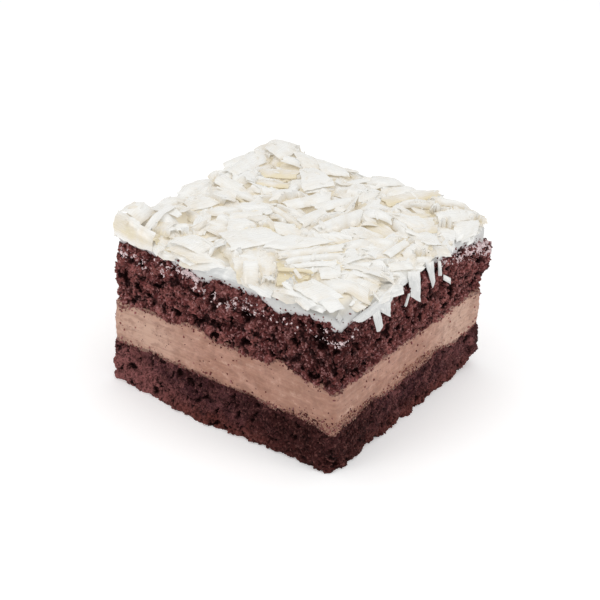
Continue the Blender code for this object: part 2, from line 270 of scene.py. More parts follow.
def setAttribute(mesh, name, values):
    values = np.asarray(values, np.float32)
    if values.ndim == 2:
        mesh.attributes.new(name, "FLOAT_VECTOR", "POINT").data.foreach_set("vector", values.ravel())
    else:
        mesh.attributes.new(name, "FLOAT", "POINT").data.foreach_set("value", values)


def noiseAt(x, y, z, width, shift):
    return noise.noise(Vector((x / width + shift, y / width - shift, z / width + 0.5 * shift)))


# The layers' shared form: the lines are the solids' own, and the relief is much like theirs.

# swells of a line: x and y in mm, radius and rise
upperTopSwells = (
    (-6.7, -35, 3.0, -2.2), (17, -35, 3.5, -2.4), (35, -35, 3.0, -1.4), (35, -22, 3.0, -1.2),
    (35, 4, 9.0, 1.6), (35, 28, 3.0, -0.8), (35, 35, 5.5, -3.6),
)
creamTopSwells = (
    (-34, -35, 3.0, -1.0), (-9, -35, 5.0, 1.4), (19, -35, 4.0, 1.8), (35, -35, 3.0, -1.4),
    (35, 35, 3.0, -0.8),
)
lowerTopSwells = (
    (35, -35, 2.5, -1.2), (35, -19, 3.5, 1.5), (35, 14, 5.0, 1.4), (35, 35, 4.0, 0.9),
)

# bulges of a side: x, y and z in mm, radius along, radius up and rise
lowerBulges = (
    (-8, -35, 0, 15, 7, 2.0), (35, 35, 8.5, 5, 4, 1.4), (35, 35, 0, 5, 3, -1.6),
    (10, 35, 1, 13, 6, 1.3), (0, -35, 1, 34, 6, 0.9), (-35, -35, 10, 7, 10, 0.9),
)
upperBulges = ((35, 35, 35, 6, 7, 1.6), (35, 33, 26, 5, 3, -0.9))
creamBulges = ((-35, -35, 17, 7, 9, 0.9), (35, 35, 17, 7, 8, 0.6))


def layerLine(level, swells, shift):
    cell = cake["lineCell"]

    def height(x, y):
        atSide = max(0.0, (max(abs(x), abs(y)) - (half - cell)) / cell)
        sideX = math.copysign(half, x) if abs(x) >= abs(y) else x
        sideY = math.copysign(half, y) if abs(y) > abs(x) else y
        wave = cake["waveHeight"] * noiseAt(sideX, sideY, 0.0, cake["waveLength"], shift)
        for swellX, swellY, radius, rise in swells:
            away = math.hypot(sideX / mm - swellX, sideY / mm - swellY) / radius
            wave += rise * mm * math.exp(-away * away)
        return level + atSide * wave

    return height


def sideRelief(depth, width, fineDepth, bulges, swell=0.0):
    coarseShift, fineShift = cake["reliefShifts"]

    def shift(x, y, z):
        out = swell + depth * noiseAt(x, y, z, width, coarseShift)
        out += fineDepth * noiseAt(x, y, z, cake["fineWidth"], fineShift)
        for bulgeX, bulgeY, bulgeZ, radius, tall, rise in bulges:
            away = math.hypot(x / mm - bulgeX, y / mm - bulgeY) / radius
            up = (z / mm - bulgeZ) / tall
            out += rise * mm * math.exp(-away * away - up * up)
        return out

    return shift


lowShift, middleShift, highShift = cake["shifts"]
lowerLine = layerLine(cake["lowerTop"], lowerTopSwells, lowShift)
creamLine = layerLine(cake["creamTop"], creamTopSwells, middleShift)
upperLine = layerLine(cake["upperTop"], upperTopSwells, highShift)


def squareOutline(cell):
    # points and outward directions round a square with rounded corners, anticlockwise
    radius = cake["cornerRadius"]
    alongCount = round(2 * (half - radius) / cell)
    cornerCount = max(4, round(radius * math.pi / 2 / cell))
    side = []
    for i in range(alongCount):
        x = -half + radius + 2 * (half - radius) * i / alongCount
        side.append((x, -half, 0.0, -1.0))
    for i in range(cornerCount):
        angle = -math.pi / 2 + math.pi / 2 * i / cornerCount
        out = (math.cos(angle), math.sin(angle))
        side.append((half - radius + radius * out[0], -half + radius + radius * out[1], *out))
    side = np.array(side)
    quarters = []
    for quarter in range(4):
        c, s = ((1, 0), (0, 1), (-1, 0), (0, -1))[quarter]
        turn = np.array([[c, s], [-s, c]])
        quarters.append(np.hstack([side[:, :2] @ turn, side[:, 2:] @ turn]))
    return np.vstack(quarters)


def layerShell(name, bottom, top, relief, settings):
    # a slab of cake: rings round the bottom, up the side and in over the top; the tuck pulls in its foot
    tuckReach = 0.35      # of the height
    outline = squareOutline(settings["cell"])
    count = len(outline)
    bottomZ = np.array([bottom(x, y) for x, y, _, _ in outline])
    topZ = np.array([top(x, y) for x, y, _, _ in outline])
    rings = []
    outward = []
    flat = np.zeros((count, 3))

    def capRing(line, inset):
        scale = 1 - inset / half
        ring = [(x * scale, y * scale, line(x * scale, y * scale)) for x, y, _, _ in outline]
        return np.array(ring)

    for inset in reversed(settings["bottomInsets"]):
        rings.append(capRing(bottom, inset))
        outward.append(flat)
    rows = max(4, round(settings["height"] / settings["cell"]))
    away = np.hstack([outline[:, 2:], np.zeros((count, 1))])
    for row in range(rows + 1):
        lift = row / rows
        z = bottomZ + lift * (topZ - bottomZ)
        shift = np.array([relief(x, y, h) for (x, y, _, _), h in zip(outline, z)])
        shift -= settings["shoulder"] * max(0.0, 2 * lift - 1) ** 2
        shift -= settings["tuck"] * max(0.0, 1 - lift / tuckReach) ** 2
        fromEdge = min(lift, 1 - lift) * settings["height"]
        shift -= settings["edge"] * math.exp(-((fromEdge / settings["edge"]) ** 2))
        ring = np.hstack([outline[:, :2], z[:, None]]) + away * shift[:, None]
        rings.append(ring)
        outward.append(away)
    for inset in settings["topInsets"]:
        rings.append(capRing(top, inset))
        outward.append(flat)
    points = np.vstack(rings)
    faces = []
    for r in range(len(rings) - 1):
        low = r * count
        for i in range(count):
            j = (i + 1) % count
            faces.append((low + i, low + j, low + count + j, low + count + i))
    last = (len(rings) - 1) * count
    bottomMiddle = len(points)
    points = np.vstack([points, (0, 0, bottom(0, 0)), (0, 0, top(0, 0))])
    for i in range(count):
        j = (i + 1) % count
        faces.append((bottomMiddle, j, i))
        faces.append((bottomMiddle + 1, last + i, last + j))
    points[:, 0] += middleX
    points[:, 1] += middleY
    piece = newPiece(name, points, faces)
    directions = np.vstack([*outward, np.zeros((2, 3))])
    setAttribute(piece.data, "outward", directions)
    return piece


# Materials.

# how fine each pattern of the sponges is: noise scales, per metre
spongeScales = {
    "patches": 260.0,
    "grain": 1500.0,
    "crumb": 2100.0,
    "clumpBend": 900.0,
    "clumps": 460.0,
    "dabs": 800.0,
    "sheen": 900.0,
}


def spongeLook(name, settings):
    look, graph, shader = newLook(name, settings["constants"])
    where = graph.objectPlace()
    depth = graph.stored("depth")
    smear = graph.stored("smear")
    shadingAndBands = graph.stored("shadingAndBands")
    height = graph.add("ShaderNodeSeparateXYZ", None, {0: where}, 2)
    patches = graph.noise(where, spongeScales["patches"], 3.0, 0.6)
    grain = graph.noise(where, spongeScales["grain"], 3.0, 0.65)
    hills = graph.cells(where, spongeScales["crumb"])
    spot = graph.spots(where, spongeScales["crumb"])
    base = graph.blend(patches.between(0.35, 0.65), settings["dark"], settings["light"])
    bent = where + graph.noise(where, spongeScales["clumpBend"], 1.0) * mm
    clump = graph.spots(bent, spongeScales["clumps"])
    base = graph.blend(clump.between(0.62, 0.95) * 0.55, base, settings["bright"])
    base = graph.blend(clump.between(0.38, 0.05) * 0.6, base, settings["deep"])
    foot = (height + (patches - 0.5) * 0.006).between(settings["footTop"], mm)
    base = graph.blend(foot * settings["footShare"], base, settings["foot"])
    # painted light (above 0) and painted shade (below 0), with real bands along the layer lines
    base = graph.blend(shadingAndBands.between(0.0, 1.0), base, settings["bright"])
    base = graph.blend(shadingAndBands.between(0.0, -1.0), base, settings["deep"])
    # random small cells painted near-black: painted shade standing for shaded pits
    base = graph.blend(spot.between(0.45, 0.05) * 0.65, base, settings["hollowShade"])
    # painted glints on random small cells
    base = graph.blend(spot.between(0.72, 1.0) * settings["glintShare"], base, settings["glint"])
    # painted shade: darker where the crumb's relief lies deepest
    hollowShade = (depth + (grain - 0.5) * 0.7).between(0.0, -0.7)
    # painted highlight on the crumbs that stand out
    crumbHighlights = depth.between(0.15, 0.75) * grain.between(0.42, 0.62)
    base = graph.blend(crumbHighlights * settings["crumbHighlightShare"], base, settings["crumbHighlight"])
    base = graph.blend(hollowShade, base, settings["hollowShade"])
    dabs = graph.noise(where, spongeScales["dabs"], 3.0, 0.6)
    cream = (smear + (dabs - 0.5) * 2.9 + (grain - 0.5) * 1.0 + (depth - 0.1) * 0.4).between(0.82, 0.98)
    base = graph.blend(cream * smear.between(0.02, 0.12), base, settings["cream"])
    feed(graph, shader, "Base Color", base)
    feed(graph, shader, "Roughness", 0.45 + 0.45 * graph.noise(where, spongeScales["sheen"], 2.0))
    feedBump(graph, shader, 0.8, settings["bump"], hills * -0.6 + grain * 0.7)
    return look


# the foot is a redder band above the table; the crumbs that stand out get a painted highlight, random small
# cells get painted glints, and the pits get a near-black painted shade
upperSpongeSettings = {
    "constants": {"Specular IOR Level": 0.10, "Metallic": 0.0},
    "dark": (0.115, 0.023, 0.023),
    "light": (0.290, 0.094, 0.087),
    "foot": (0.105, 0.036, 0.030),
    "footTop": 0.0,
    "footShare": 0.0,
    "hollowShade": (0.012, 0.0012, 0.0012),
    "bright": (0.350, 0.128, 0.113),
    "deep": (0.055, 0.010, 0.009),
    "crumbHighlight": (0.50, 0.29, 0.28),
    "crumbHighlightShare": 0.6,
    "glint": (0.470, 0.235, 0.230),
    "glintShare": 0.7,
    "cream": (0.80, 0.67, 0.68),
    "bump": 0.0003,
}
lowerSpongeSettings = {
    "constants": {"Specular IOR Level": 0.10, "Metallic": 0.0},
    "dark": (0.052, 0.014, 0.018),
    "light": (0.125, 0.043, 0.047),
    "foot": (0.168, 0.047, 0.038),
    "footTop": 0.0062,
    "footShare": 0.95,
    "hollowShade": (0.011, 0.0012, 0.0012),
    "bright": (0.278, 0.102, 0.098),
    "deep": (0.045, 0.010, 0.009),
    "crumbHighlight": (0.30, 0.15, 0.13),
    "crumbHighlightShare": 0.45,
    "glint": (0.250, 0.105, 0.090),
    "glintShare": 0.4,
    "cream": (0.50, 0.32, 0.26),
    "bump": 0.0003,
}
upperSpongeLook = spongeLook("cocoaSpongeUpper", upperSpongeSettings)
lowerSpongeLook = spongeLook("cocoaSpongeLower", lowerSpongeSettings)


chocolateCreamSettings = {
    "cell": 0.42 * mm,
    "height": 12 * mm,
    "shoulder": 0.0,
    "tuck": 0.0,
    "edge": 0.1 * mm,
    "bottomInsets": (0.6 * mm, 1.6 * mm, 2.6 * mm, 12 * mm, 24 * mm),
    "topInsets": (0.6 * mm, 1.6 * mm, 2.6 * mm, 12 * mm, 24 * mm),
    "light": (0.510, 0.277, 0.206),
    "dark": (0.402, 0.199, 0.138),
    "bright": (0.610, 0.395, 0.303),
    "deep": (0.345, 0.178, 0.122),
    "line": (0.27, 0.135, 0.095),
    "crumb": (0.13, 0.052, 0.040),
    "streakHeight": 0.3 * mm,
    "lumpHeight": 0.12 * mm,
    "lumpSize": 4.0 * mm,
    "reliefDepth": 0.25 * mm,
    "reliefWidth": 7 * mm,
    "fineDepth": 0.1 * mm,
    "swell": 0.35 * mm,
    "overlap": 0.5 * mm,        # how far it reaches behind the sponges' edges
    "scales": {                 # noise scales, per metre
        "streaks": 1300.0, "patches": 150.0, "grain": 1800.0,
        "spots": 1500.0, "mottle": 480.0, "specks": 620.0,
    },
}


def chocolateCreamLook(settings):
    constants = {"Specular IOR Level": 0.35, "Subsurface Weight": 0.12, "Subsurface Scale": 0.0012}
    look, graph, shader = newLook("chocolateCream", constants)
    shader.inputs["Subsurface Radius"].default_value = (1.0, 0.55, 0.4)
    where = graph.objectPlace()
    shadingAndBands = graph.stored("shadingAndBands")
    seam = graph.stored("seam")
    scales = settings["scales"]
    streaks = graph.noise(graph.stretched(where, (0.05, 0.05, 1.0)), scales["streaks"], 4.0, 0.65)
    patches = graph.noise(where, scales["patches"], 4.0, 0.6)
    grain = graph.noise(where, scales["grain"], 3.0, 0.6)
    spot = graph.spots(where, scales["spots"])
    base = graph.blend(patches.between(0.35, 0.65), settings["dark"], settings["light"])
    # painted light (above 0) and painted shade (below 0) over the cream's sides
    base = graph.blend(shadingAndBands.between(0.0, 1.0), base, settings["bright"])
    base = graph.blend(shadingAndBands.between(0.0, -1.0), base, settings["deep"])
    mottle = graph.noise(graph.stretched(where, (0.7, 0.7, 1.0)), scales["mottle"], 5.0, 0.75)
    base = graph.blend(mottle.between(0.54, 0.38) * 0.5, base, settings["line"])
    base = graph.blend(mottle.between(0.54, 0.68) * 0.6, base, settings["bright"])
    base = graph.blend(streaks.between(0.52, 0.36) * 0.25, base, settings["line"])
    base = graph.blend(streaks.between(0.52, 0.66) * 0.2, base, settings["bright"])
    dust = (seam + (grain - 0.5) * 1.6 + (spot - 0.5) * 0.5).between(0.55, 0.95)
    base = graph.blend(dust * 0.75, base, settings["crumb"])
    specks = graph.cells(where, scales["specks"]).between(0.17, 0.10) * patches.between(0.46, 0.54)
    base = graph.blend(specks * 0.85, base, settings["crumb"])
    feed(graph, shader, "Base Color", base)
    feed(graph, shader, "Roughness", 0.42 + 0.3 * streaks)
    feedBump(graph, shader, 0.8, 0.0003, streaks + grain * 0.35)
    return look


whiteCreamSettings = {
    "cell": 0.45 * mm,
    "height": 5.6 * mm,
    "shoulder": 2.2 * mm,
    "tuck": 0.35 * mm,
    "edge": 0.25 * mm,
    "bottomInsets": (0.8 * mm, 2.6 * mm, 14 * mm),
    "topInsets": tuple(step * mm for step in (2.8, 3.4, 4.0, *range(5, 35))),
    "drop": 0.8 * mm,           # how far it hangs behind the sponge's top crumbs
    "bedDepth": 0.42 * mm,      # how far the bed lies under the pile's own heights
    "bedStart": 4 * mm,         # the bed rises this far in from the sides
    "cream": (0.61, 0.615, 0.605),
    "shade": (0.55, 0.545, 0.535),
    "thin": (0.46, 0.42, 0.43),
    # the bed's warm tan, partly painted warm shade for the pile's crevices
    "fill": (0.79, 0.72, 0.585),
    "lumpHeight": 0.5 * mm,
    "lumpSize": 3.2 * mm,
    "rippleHeight": 0.12 * mm,
    "reliefDepth": 0.18 * mm,
    "reliefWidth": 9 * mm,
    "edgeDrop": 0.5 * mm,       # its top lies this much lower at the sides
    "thinHeight": 1.6 * mm,     # it lets the sponge show through this far up
    "fillWidth": 3 * mm,        # its colour turns from cream to bed over this, from half of it in
    "lumpScale": 420.0,
    "grainScale": 1600.0,
}


def whiteCreamLook(settings):
    constants = {"Specular IOR Level": 0.4, "Emission Strength": 0.10}
    look, graph, shader = newLook("whiteCream", constants)
    where = graph.objectPlace()
    rim = graph.stored("rim")
    lumps = graph.noise(where, settings["lumpScale"], 3.0, 0.55)
    grain = graph.noise(where, settings["grainScale"], 2.0, 0.5)
    fill = graph.stored("fill")
    base = graph.blend(lumps.between(0.3, 0.7), settings["shade"], settings["cream"])
    # the bed's warm tan: partly the filling cream's colour, partly painted warm shade for the crevices it
    # shows in
    base = graph.blend(fill, base, settings["fill"])
    base = graph.blend((rim + (lumps - 0.5) * 0.7).between(0.35, 1.0) * 0.8, base, settings["thin"])
    feed(graph, shader, "Base Color", base)
    feed(graph, shader, "Emission Color", base)      # stands in for light that soaks through cream
    feed(graph, shader, "Roughness", 0.38 + 0.25 * lumps)
    feedBump(graph, shader, 0.5, 0.0002, lumps + grain * 0.3)
    return look


ivorySettings = {
    "pale": (0.775, 0.770, 0.745),
    "soft": (0.700, 0.642, 0.548),
    "deep": (0.69, 0.61, 0.43),
    "cool": (0.55, 0.555, 0.545),
    "sheen": 0.20,
}
dabSettings = {
    "pale": (0.68, 0.53, 0.54),
    "soft": (0.50, 0.34, 0.34),
    "deep": (0.42, 0.25, 0.25),
    "cool": (0.50, 0.37, 0.37),
    "sheen": 0.3,
}


def shavingLook(name, settings):
    # ivory chocolate with scrape lines that run along each shaving; tones below 0 are cool and grey
    constants = {"Specular IOR Level": 0.8, "Emission Strength": 0.15}
    look, graph, shader = newLook(name, constants)
    tone = graph.stored("tone")
    grain = graph.stored("grain", 1)
    scrape = graph.noise(graph.stretched(grain, (0.12, 1.0, 1.0)), 2.6, 3.0, 0.6)
    cloud = graph.noise(grain, 0.3, 3.0, 0.6)
    mixed = tone + (cloud - 0.5) * 1.7 + (scrape - 0.5) * 0.12
    # raised tones, partly random and partly painted shade, turn soft and then deep
    base = graph.blend(mixed.between(-0.15, 0.95), settings["pale"], settings["soft"])
    base = graph.blend(mixed.between(0.55, 1.5), base, settings["deep"])
    base = graph.blend(mixed.between(-0.1, -0.85), base, settings["cool"])
    feed(graph, shader, "Base Color", base)
    feed(graph, shader, "Emission Color", base)      # stands in for light that soaks through thin chocolate
    feed(graph, shader, "Roughness", settings["sheen"] + 0.15 * scrape)
    feedBump(graph, shader, 0.22, 0.00022, scrape)
    return look


creamLook = chocolateCreamLook(chocolateCreamSettings)
whiteLook = whiteCreamLook(whiteCreamSettings)
ivoryLook = shavingLook("whiteChocolate", ivorySettings)
dabLook = shavingLook("creamDabs", dabSettings)
print("materials made")


# Sponge: crumb clumps, grains and holes over the layer's form.

crumb = {
    "Clump Size": 2.3,       # millimetres
    "Clump Height": 1.25,
    "Grain Size": 0.7,
    "Grain Height": 0.5,
    "Rough Height": 1.5,
    "Hole Size": 2.4,
    "Hole Depth": 1.7,
    "Swell": 0.75,
}
denseCrumb = dict(crumb, **{"Clump Height": 0.55, "Hole Depth": 0.8, "Rough Height": 1.25})


def crumbTree(look):
    graph, wires, close = geometryTree("crumb", list(crumb))
    where = graph.add("GeometryNodeInputPosition") * (1 / mm)
    outward = graph.add("GeometryNodeInputNamedAttribute", {"data_type": "FLOAT_VECTOR"}, {"Name": "outward"})
    warp = graph.add("ShaderNodeTexNoise", None, {"Vector": where, "Scale": 0.9, "Detail": 1.0}, 1)
    bend = graph.add("ShaderNodeVectorMath", {"operation": "SUBTRACT"}, {0: warp, 1: (0.5, 0.5, 0.5)})
    bent = where + bend * 0.9
    evenCell = 0.42      # the distance at which a cell neither stands out nor lies back
    clumps = (evenCell - graph.cells(bent, 1.0 / wires["Clump Size"])) * wires["Clump Height"]
    grains = (evenCell - graph.cells(where, 1.0 / wires["Grain Size"])) * wires["Grain Height"]
    holes = graph.noise(bent, 1.0 / wires["Hole Size"], 2.0).between(0.56, 0.72) * wires["Hole Depth"]
    rough = (graph.noise(where, 0.8, 5.0, 0.75) - 0.5) * wires["Rough Height"]
    depth = clumps + grains + rough - holes
    marked = graph.add(
        "GeometryNodeStoreNamedAttribute", {"data_type": "FLOAT", "domain": "POINT"},
        {"Geometry": wires["Geometry"], "Name": "depth", "Value": depth},
    )
    offset = outward * ((depth + wires["Swell"]) * mm)
    close(graph.add("GeometryNodeSetPosition", None, {"Geometry": marked, "Offset": offset}), look)
    return graph.tree


def jagged(line, height, width, shift):
    # a layer line with fine crumb jags where it shows
    def lineHeight(x, y):
        atSide = max(0.0, (max(abs(x), abs(y)) - (half - cake["lineCell"])) / cake["lineCell"])
        return line(x, y) + atSide * height * noiseAt(x, y, 0.0, width, shift)

    return lineHeight


spongeShell = {
    "cell": 0.235 * mm,
    "shoulder": 0.0,
    "tuck": 0.0,
    "edge": 0.3 * mm,
    "bottomInsets": (0.5 * mm, 1.2 * mm, 2.6 * mm, 12 * mm, 24 * mm),
    "topInsets": (0.5 * mm, 1.2 * mm, 2.6 * mm, 12 * mm, 24 * mm),
    "jagWidth": 1.3 * mm,
    # for each line from the lowest up: height of its jags, and a shift that sets their noise apart
    "jags": ((0.72 * mm, 5.1), (0.72 * mm, 9.7), (1.35 * mm, 2.9)),
    "reliefDepth": 1.1 * mm,
    "reliefWidth": 3.2 * mm,
    "fineDepth": 0.35 * mm,
}

# cream pressed onto the crumbs: x, y, z, radius along, radius up, strength
upperSmears = (
    (35, 33, 38, 6, 4, 0.95), (35, 23, 39.0, 7, 3.0, 0.8), (35, 12, 41, 8, 1.7, 0.6),
    (35, -14, 40.5, 8, 1.6, 0.55), (-33, -35, 38.4, 3, 2.6, 0.62), (-26, -35, 37.8, 5, 3.0, 0.60),
    (-18, -35, 38.4, 3, 2.2, 0.65),
    (-12, -35, 40.0, 5, 1.1, 1.1), (-8, -35, 37.2, 5, 3.4, 0.66), (2, -35, 36.0, 6, 3.6, 0.60),
    (10, -35, 37.4, 6, 2.6, 0.62), (21, -35, 37.2, 6, 2.4, 0.52), (31, -35, 36.8, 5, 2.6, 0.52),
    (35, -31, 38.8, 4, 1.3, 0.45), (35, -21, 40.2, 6, 1.7, 1.0), (30.5, -35, 39.4, 1.6, 0.9, 0.9),
    (35, -33.5, 37.2, 2.0, 1.0, 0.9), (0, 35, 40, 26, 2.0, 0.6), (-35, 0, 40, 26, 2.0, 0.6),
)
lowerSmears = ((35, 27, 5.5, 5, 2.0, 0.6), (35, -2, 11, 9, 1.2, 0.5), (-20, -35, 11, 12, 1.0, 0.45))

# lighter (above 0) and darker places, given the same way: painted shade towards the front corner and painted
# light towards the far ends of the sides, with real lighter and darker bands along the layer lines
upperShadingAndBands = (
    (-35, -35, 32, 9, 14, 0.35), (33, -35, 32, 20, 12, -0.65), (35, 18, 34, 16, 12, 0.3),
    (0, -35, 25.5, 26, 2.6, 0.5), (35, 0, 25.5, 26, 2.4, 0.35), (-35, 0, 30, 26, 10, 0.2),
    (2, -35, 36, 24, 4, -0.35),
)
lowerShadingAndBands = (
    (-33, -35, 4, 17, 8, 1.5), (24, -35, 6, 16, 14, -0.6), (35, -24, 6, 18, 14, -0.55),
    (-35, 10, 6, 24, 10, 0.3), (35, 24, 6, 12, 10, 0.35), (-10, -35, 9, 26, 2.6, -0.45),
)
creamShading = (
    (-26, -35, 18, 16, 10, 0.75), (22, -35, 18, 18, 12, -0.4), (35, -26, 18, 12, 12, -0.3),
    (35, 24, 18, 13, 12, 0.85), (-35, 10, 18, 30, 12, 0.4),
)


def smearAt(points, smears):
    total = np.zeros(len(points))
    for x, y, z, along, up, strength in smears:
        flat = np.hypot(points[:, 0] - middleX - x * mm, points[:, 1] - middleY - y * mm) / (along * mm)
        rise = (points[:, 2] - z * mm) / (up * mm)
        total += strength * np.exp(-flat ** 2 - rise ** 2)
    return total


def pointsOf(piece):
    points = np.empty(len(piece.data.vertices) * 3, np.float32)
    piece.data.vertices.foreach_get("co", points)
    return points.reshape(-1, 3)


def aboveTable(piece):
    points = pointsOf(piece)
    points[:, 2] = np.maximum(points[:, 2], 0.0)
    piece.data.vertices.foreach_set("co", points.ravel())


def makeSponge(name, node, bottom, top, height, bulges, marks, look, texture):
    shell = dict(spongeShell, height=height)
    relief = sideRelief(shell["reliefDepth"], shell["reliefWidth"], shell["fineDepth"], bulges)
    piece = layerShell(name, bottom, top, relief, shell)
    smears, shadingAndBandList = marks
    setAttribute(piece.data, "smear", smearAt(pointsOf(piece), smears))
    # painted light and shade, with real bands along the layer lines
    setAttribute(piece.data, "shadingAndBands", smearAt(pointsOf(piece), shadingAndBandList))
    runTree(piece, crumbTree(look), texture)
    aboveTable(piece)
    piece.data.shade_flat()      # the facets are the crumb's own sparkle
    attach(piece, "root")
    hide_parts(node)
    return piece


def tableTop(x, y):
    # the underside lies flat on the table
    return 0.0


lowerEdge, creamEdge, upperEdge = (
    jagged(line, height, spongeShell["jagWidth"], shift)
    for line, (height, shift) in zip((lowerLine, creamLine, upperLine), spongeShell["jags"])
)
lowerSponge = makeSponge(
    "lowerSponge", "lower_sponge", tableTop, lowerEdge, cake["lowerTop"], lowerBulges,
    (lowerSmears, lowerShadingAndBands), lowerSpongeLook, denseCrumb,
)
upperSponge = makeSponge(
    "upperSponge", "upper_sponge", creamEdge, upperEdge, cake["upperHeight"], upperBulges,
    (upperSmears, upperShadingAndBands), upperSpongeLook, crumb,
)
print("sponges made:", len(lowerSponge.data.polygons), len(upperSponge.data.polygons))


# Chocolate cream: dragged level by the knife.

def creamTree(name, look, streakScale):
    # level streaks round the sides and soft lumps all over
    graph, wires, close = geometryTree(name, ["Streak Height", "Lump Height", "Lump Size"])
    where = graph.add("GeometryNodeInputPosition") * (1 / mm)
    outward = graph.add("GeometryNodeInputNamedAttribute", {"data_type": "FLOAT_VECTOR"}, {"Name": "outward"})
    level = graph.add("ShaderNodeVectorMath", {"operation": "MULTIPLY"}, {0: where, 1: streakScale})
    streaks = (graph.noise(level, 1.0, 2.0) - 0.5) * wires["Streak Height"]
    lumps = (graph.noise(where, 1.0 / wires["Lump Size"], 2.0) - 0.5) * wires["Lump Height"]
    normal = graph.add("GeometryNodeInputNormal")
    offset = outward * (streaks * (2 * mm)) + normal * (lumps * (2 * mm))
    moved = graph.add("GeometryNodeSetPosition", None, {"Geometry": wires["Geometry"], "Offset": offset})
    close(moved, look)
    return graph.tree


def shifted(line, rise):
    return lambda x, y: line(x, y) + rise


def nearLine(points, line, reach):
    # 1 on a layer line, falling away over the reach
    heights = np.array([line(x - middleX, y - middleY) for x, y, _ in points])
    return np.exp(-((points[:, 2] - heights) / reach) ** 2)


creamSides = sideRelief(
    chocolateCreamSettings["reliefDepth"], chocolateCreamSettings["reliefWidth"],
    chocolateCreamSettings["fineDepth"], creamBulges, chocolateCreamSettings["swell"],
)
overlap = chocolateCreamSettings["overlap"]
chocolateCream = layerShell(
    "chocolateCream", shifted(lowerLine, -overlap), shifted(creamLine, overlap), creamSides,
    chocolateCreamSettings,
)
creamPoints = pointsOf(chocolateCream)
# painted light and shade over the cream's sides
setAttribute(chocolateCream.data, "shadingAndBands", smearAt(creamPoints, creamShading))
seam = nearLine(creamPoints, lowerLine, 0.9 * mm) * 1.1 + nearLine(creamPoints, creamLine, 0.8 * mm)
setAttribute(chocolateCream.data, "seam", seam)
runTree(
    chocolateCream, creamTree("chocolateCreamDrag", creamLook, (0.05, 0.05, 0.9)),
    {"Streak Height": chocolateCreamSettings["streakHeight"] / mm,
     "Lump Height": chocolateCreamSettings["lumpHeight"] / mm,
     "Lump Size": chocolateCreamSettings["lumpSize"] / mm},
)
chocolateCream.data.shade_smooth()
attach(chocolateCream, "root")
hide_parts("chocolate_cream")
print("chocolate cream made:", len(chocolateCream.data.polygons))


# Shavings: the solids' own pile, made finer, then smaller flakes on it.

shaving = {
    "rows": 9,
    "spread": 0.4,
    "lengths": (8.5, 15.0),
    "widths": (4.2, 8.2),
    "curls": (-35, 75),
    "lean": 9,
    "endWidths": ((0.35, 0.9), (0.15, 0.9)),
    "middleWidths": (0.75, 1.05),
    "drift": 0.12,
    "solidThickness": 0.7 * mm,
    "thickness": 0.5 * mm,
    "sink": 0.55 * mm,
    "mostBridging": 1.3 * mm,
    "mostOverhang": 0.9 * mm,
    "pileTop": 51.5 * mm,
    "rimTop": 48.4 * mm,       # scattered sheets stay under this near the sides
    "rimWidth": 3.5 * mm,
    "creamClearance": 0.5 * mm,
    "sideClearance": 1.7 * mm,
    "cornerFree": 9.5 * mm,    # none shows this near the front corner, where the cream lies bare
    "cellAlong": 0.75 * mm,
    "cellAcross": 0.5 * mm,
    "plateCell": 0.6,          # in mm, as the plates' corners are
    "mapCells": 70,            # squares each way in a map of the pile's height
    "heroDrop": 0.9 * mm,      # other sheets stay this far under the tops of the placed ones
    "seed": 41,
}

# tones: 0 is pale, above it warmer and darker, below it cool and grey; tone added in the pile's hollows and
# on each sheet's lower parts is painted shade
toning = {
    "hollowShade": 0.75,            # added in the pile's hollows
    "hollowDepth": 2.2 * mm,
    "hollowStart": 0.25,
    "rim": 0.85,               # taken off low on the rim
    "rimTop": 45.6 * mm,
    "rimHeight": 2.2 * mm,
}

# x, y, z, heading, pitch, roll, length, width, curl and tone of the large shavings
placedShavings = (
    (-29.4, -34.3, 46.5, 6, 3, 60, 12.5, 10.0, 42, 0.45),
    (-33.2, -29.8, 49.0, 72, -5, 8, 10, 7.0, 30, 0.15),
    (-19.8, -34.7, 44.7, -4, -3, 42, 10, 6.5, 20, 0.35),
    (-7.0, -34.9, 45.1, 3, 2, 34, 13, 5.5, 15, 0.5),
    (5.0, -31.5, 45.4, -96, -24, 3, 17, 13.0, 62, 0.3),
    (9.5, -36.1, 43.3, -92, -62, 2, 8, 7.0, 25, 0.4),
    (13.6, -24.5, 48.0, 68, 2, 24, 18, 4.2, 12, 0.5),
    (15.8, -25.8, 47.1, 72, 1, 28, 17, 3.8, 8, 0.75),
    (18.0, -26.2, 46.2, 64, -2, 32, 15, 4.2, 10, 0.9),
    (5.6, 4.0, 48.6, 76, 2, 0, 16, 5.5, 16, 0.2),
    (-0.8, -3.2, 47.8, 30, 0, 0, 12, 5.0, -70, 0.15),
    (-32.2, 16.0, 48.5, 84, 0, 13, 18, 8.5, 20, 0.25),
    (-31.0, 28.8, 48.0, 70, -3, 8, 15, 9.5, 24, 0.2),
    (-33.0, -4.0, 47.3, 86, 3, 9, 15, 7.5, 24, 0.1),
    (-33.4, -16.5, 46.5, 88, 2, 10, 12, 7.0, 26, 0.15),
    (-23.5, 32.0, 47.0, -8, -3, 8, 14, 8.0, 26, 0.1),
    (-8.5, 32.5, 46.8, 5, 2, 6, 13, 7.5, 22, 0.1),
    (1.0, 22.5, 47.9, 60, 0, 5, 15, 8.0, 26, 0.3),
    (10.5, 32.0, 48.0, 8, 4, 10, 15, 7.5, 22, 0.7),
    (23.0, 32.2, 48.5, -5, -3, 10, 13, 7.5, 26, 0.6),
    (33.0, -1.0, 46.3, 96, 4, 18, 14, 5.0, 18, 0.3),
    (34.0, -9.5, 45.4, 88, -3, 22, 10, 4.5, 10, 0.3),
    (27.5, -27.5, 46.6, 38, 3, 8, 13, 7.0, 30, 0.2),
)
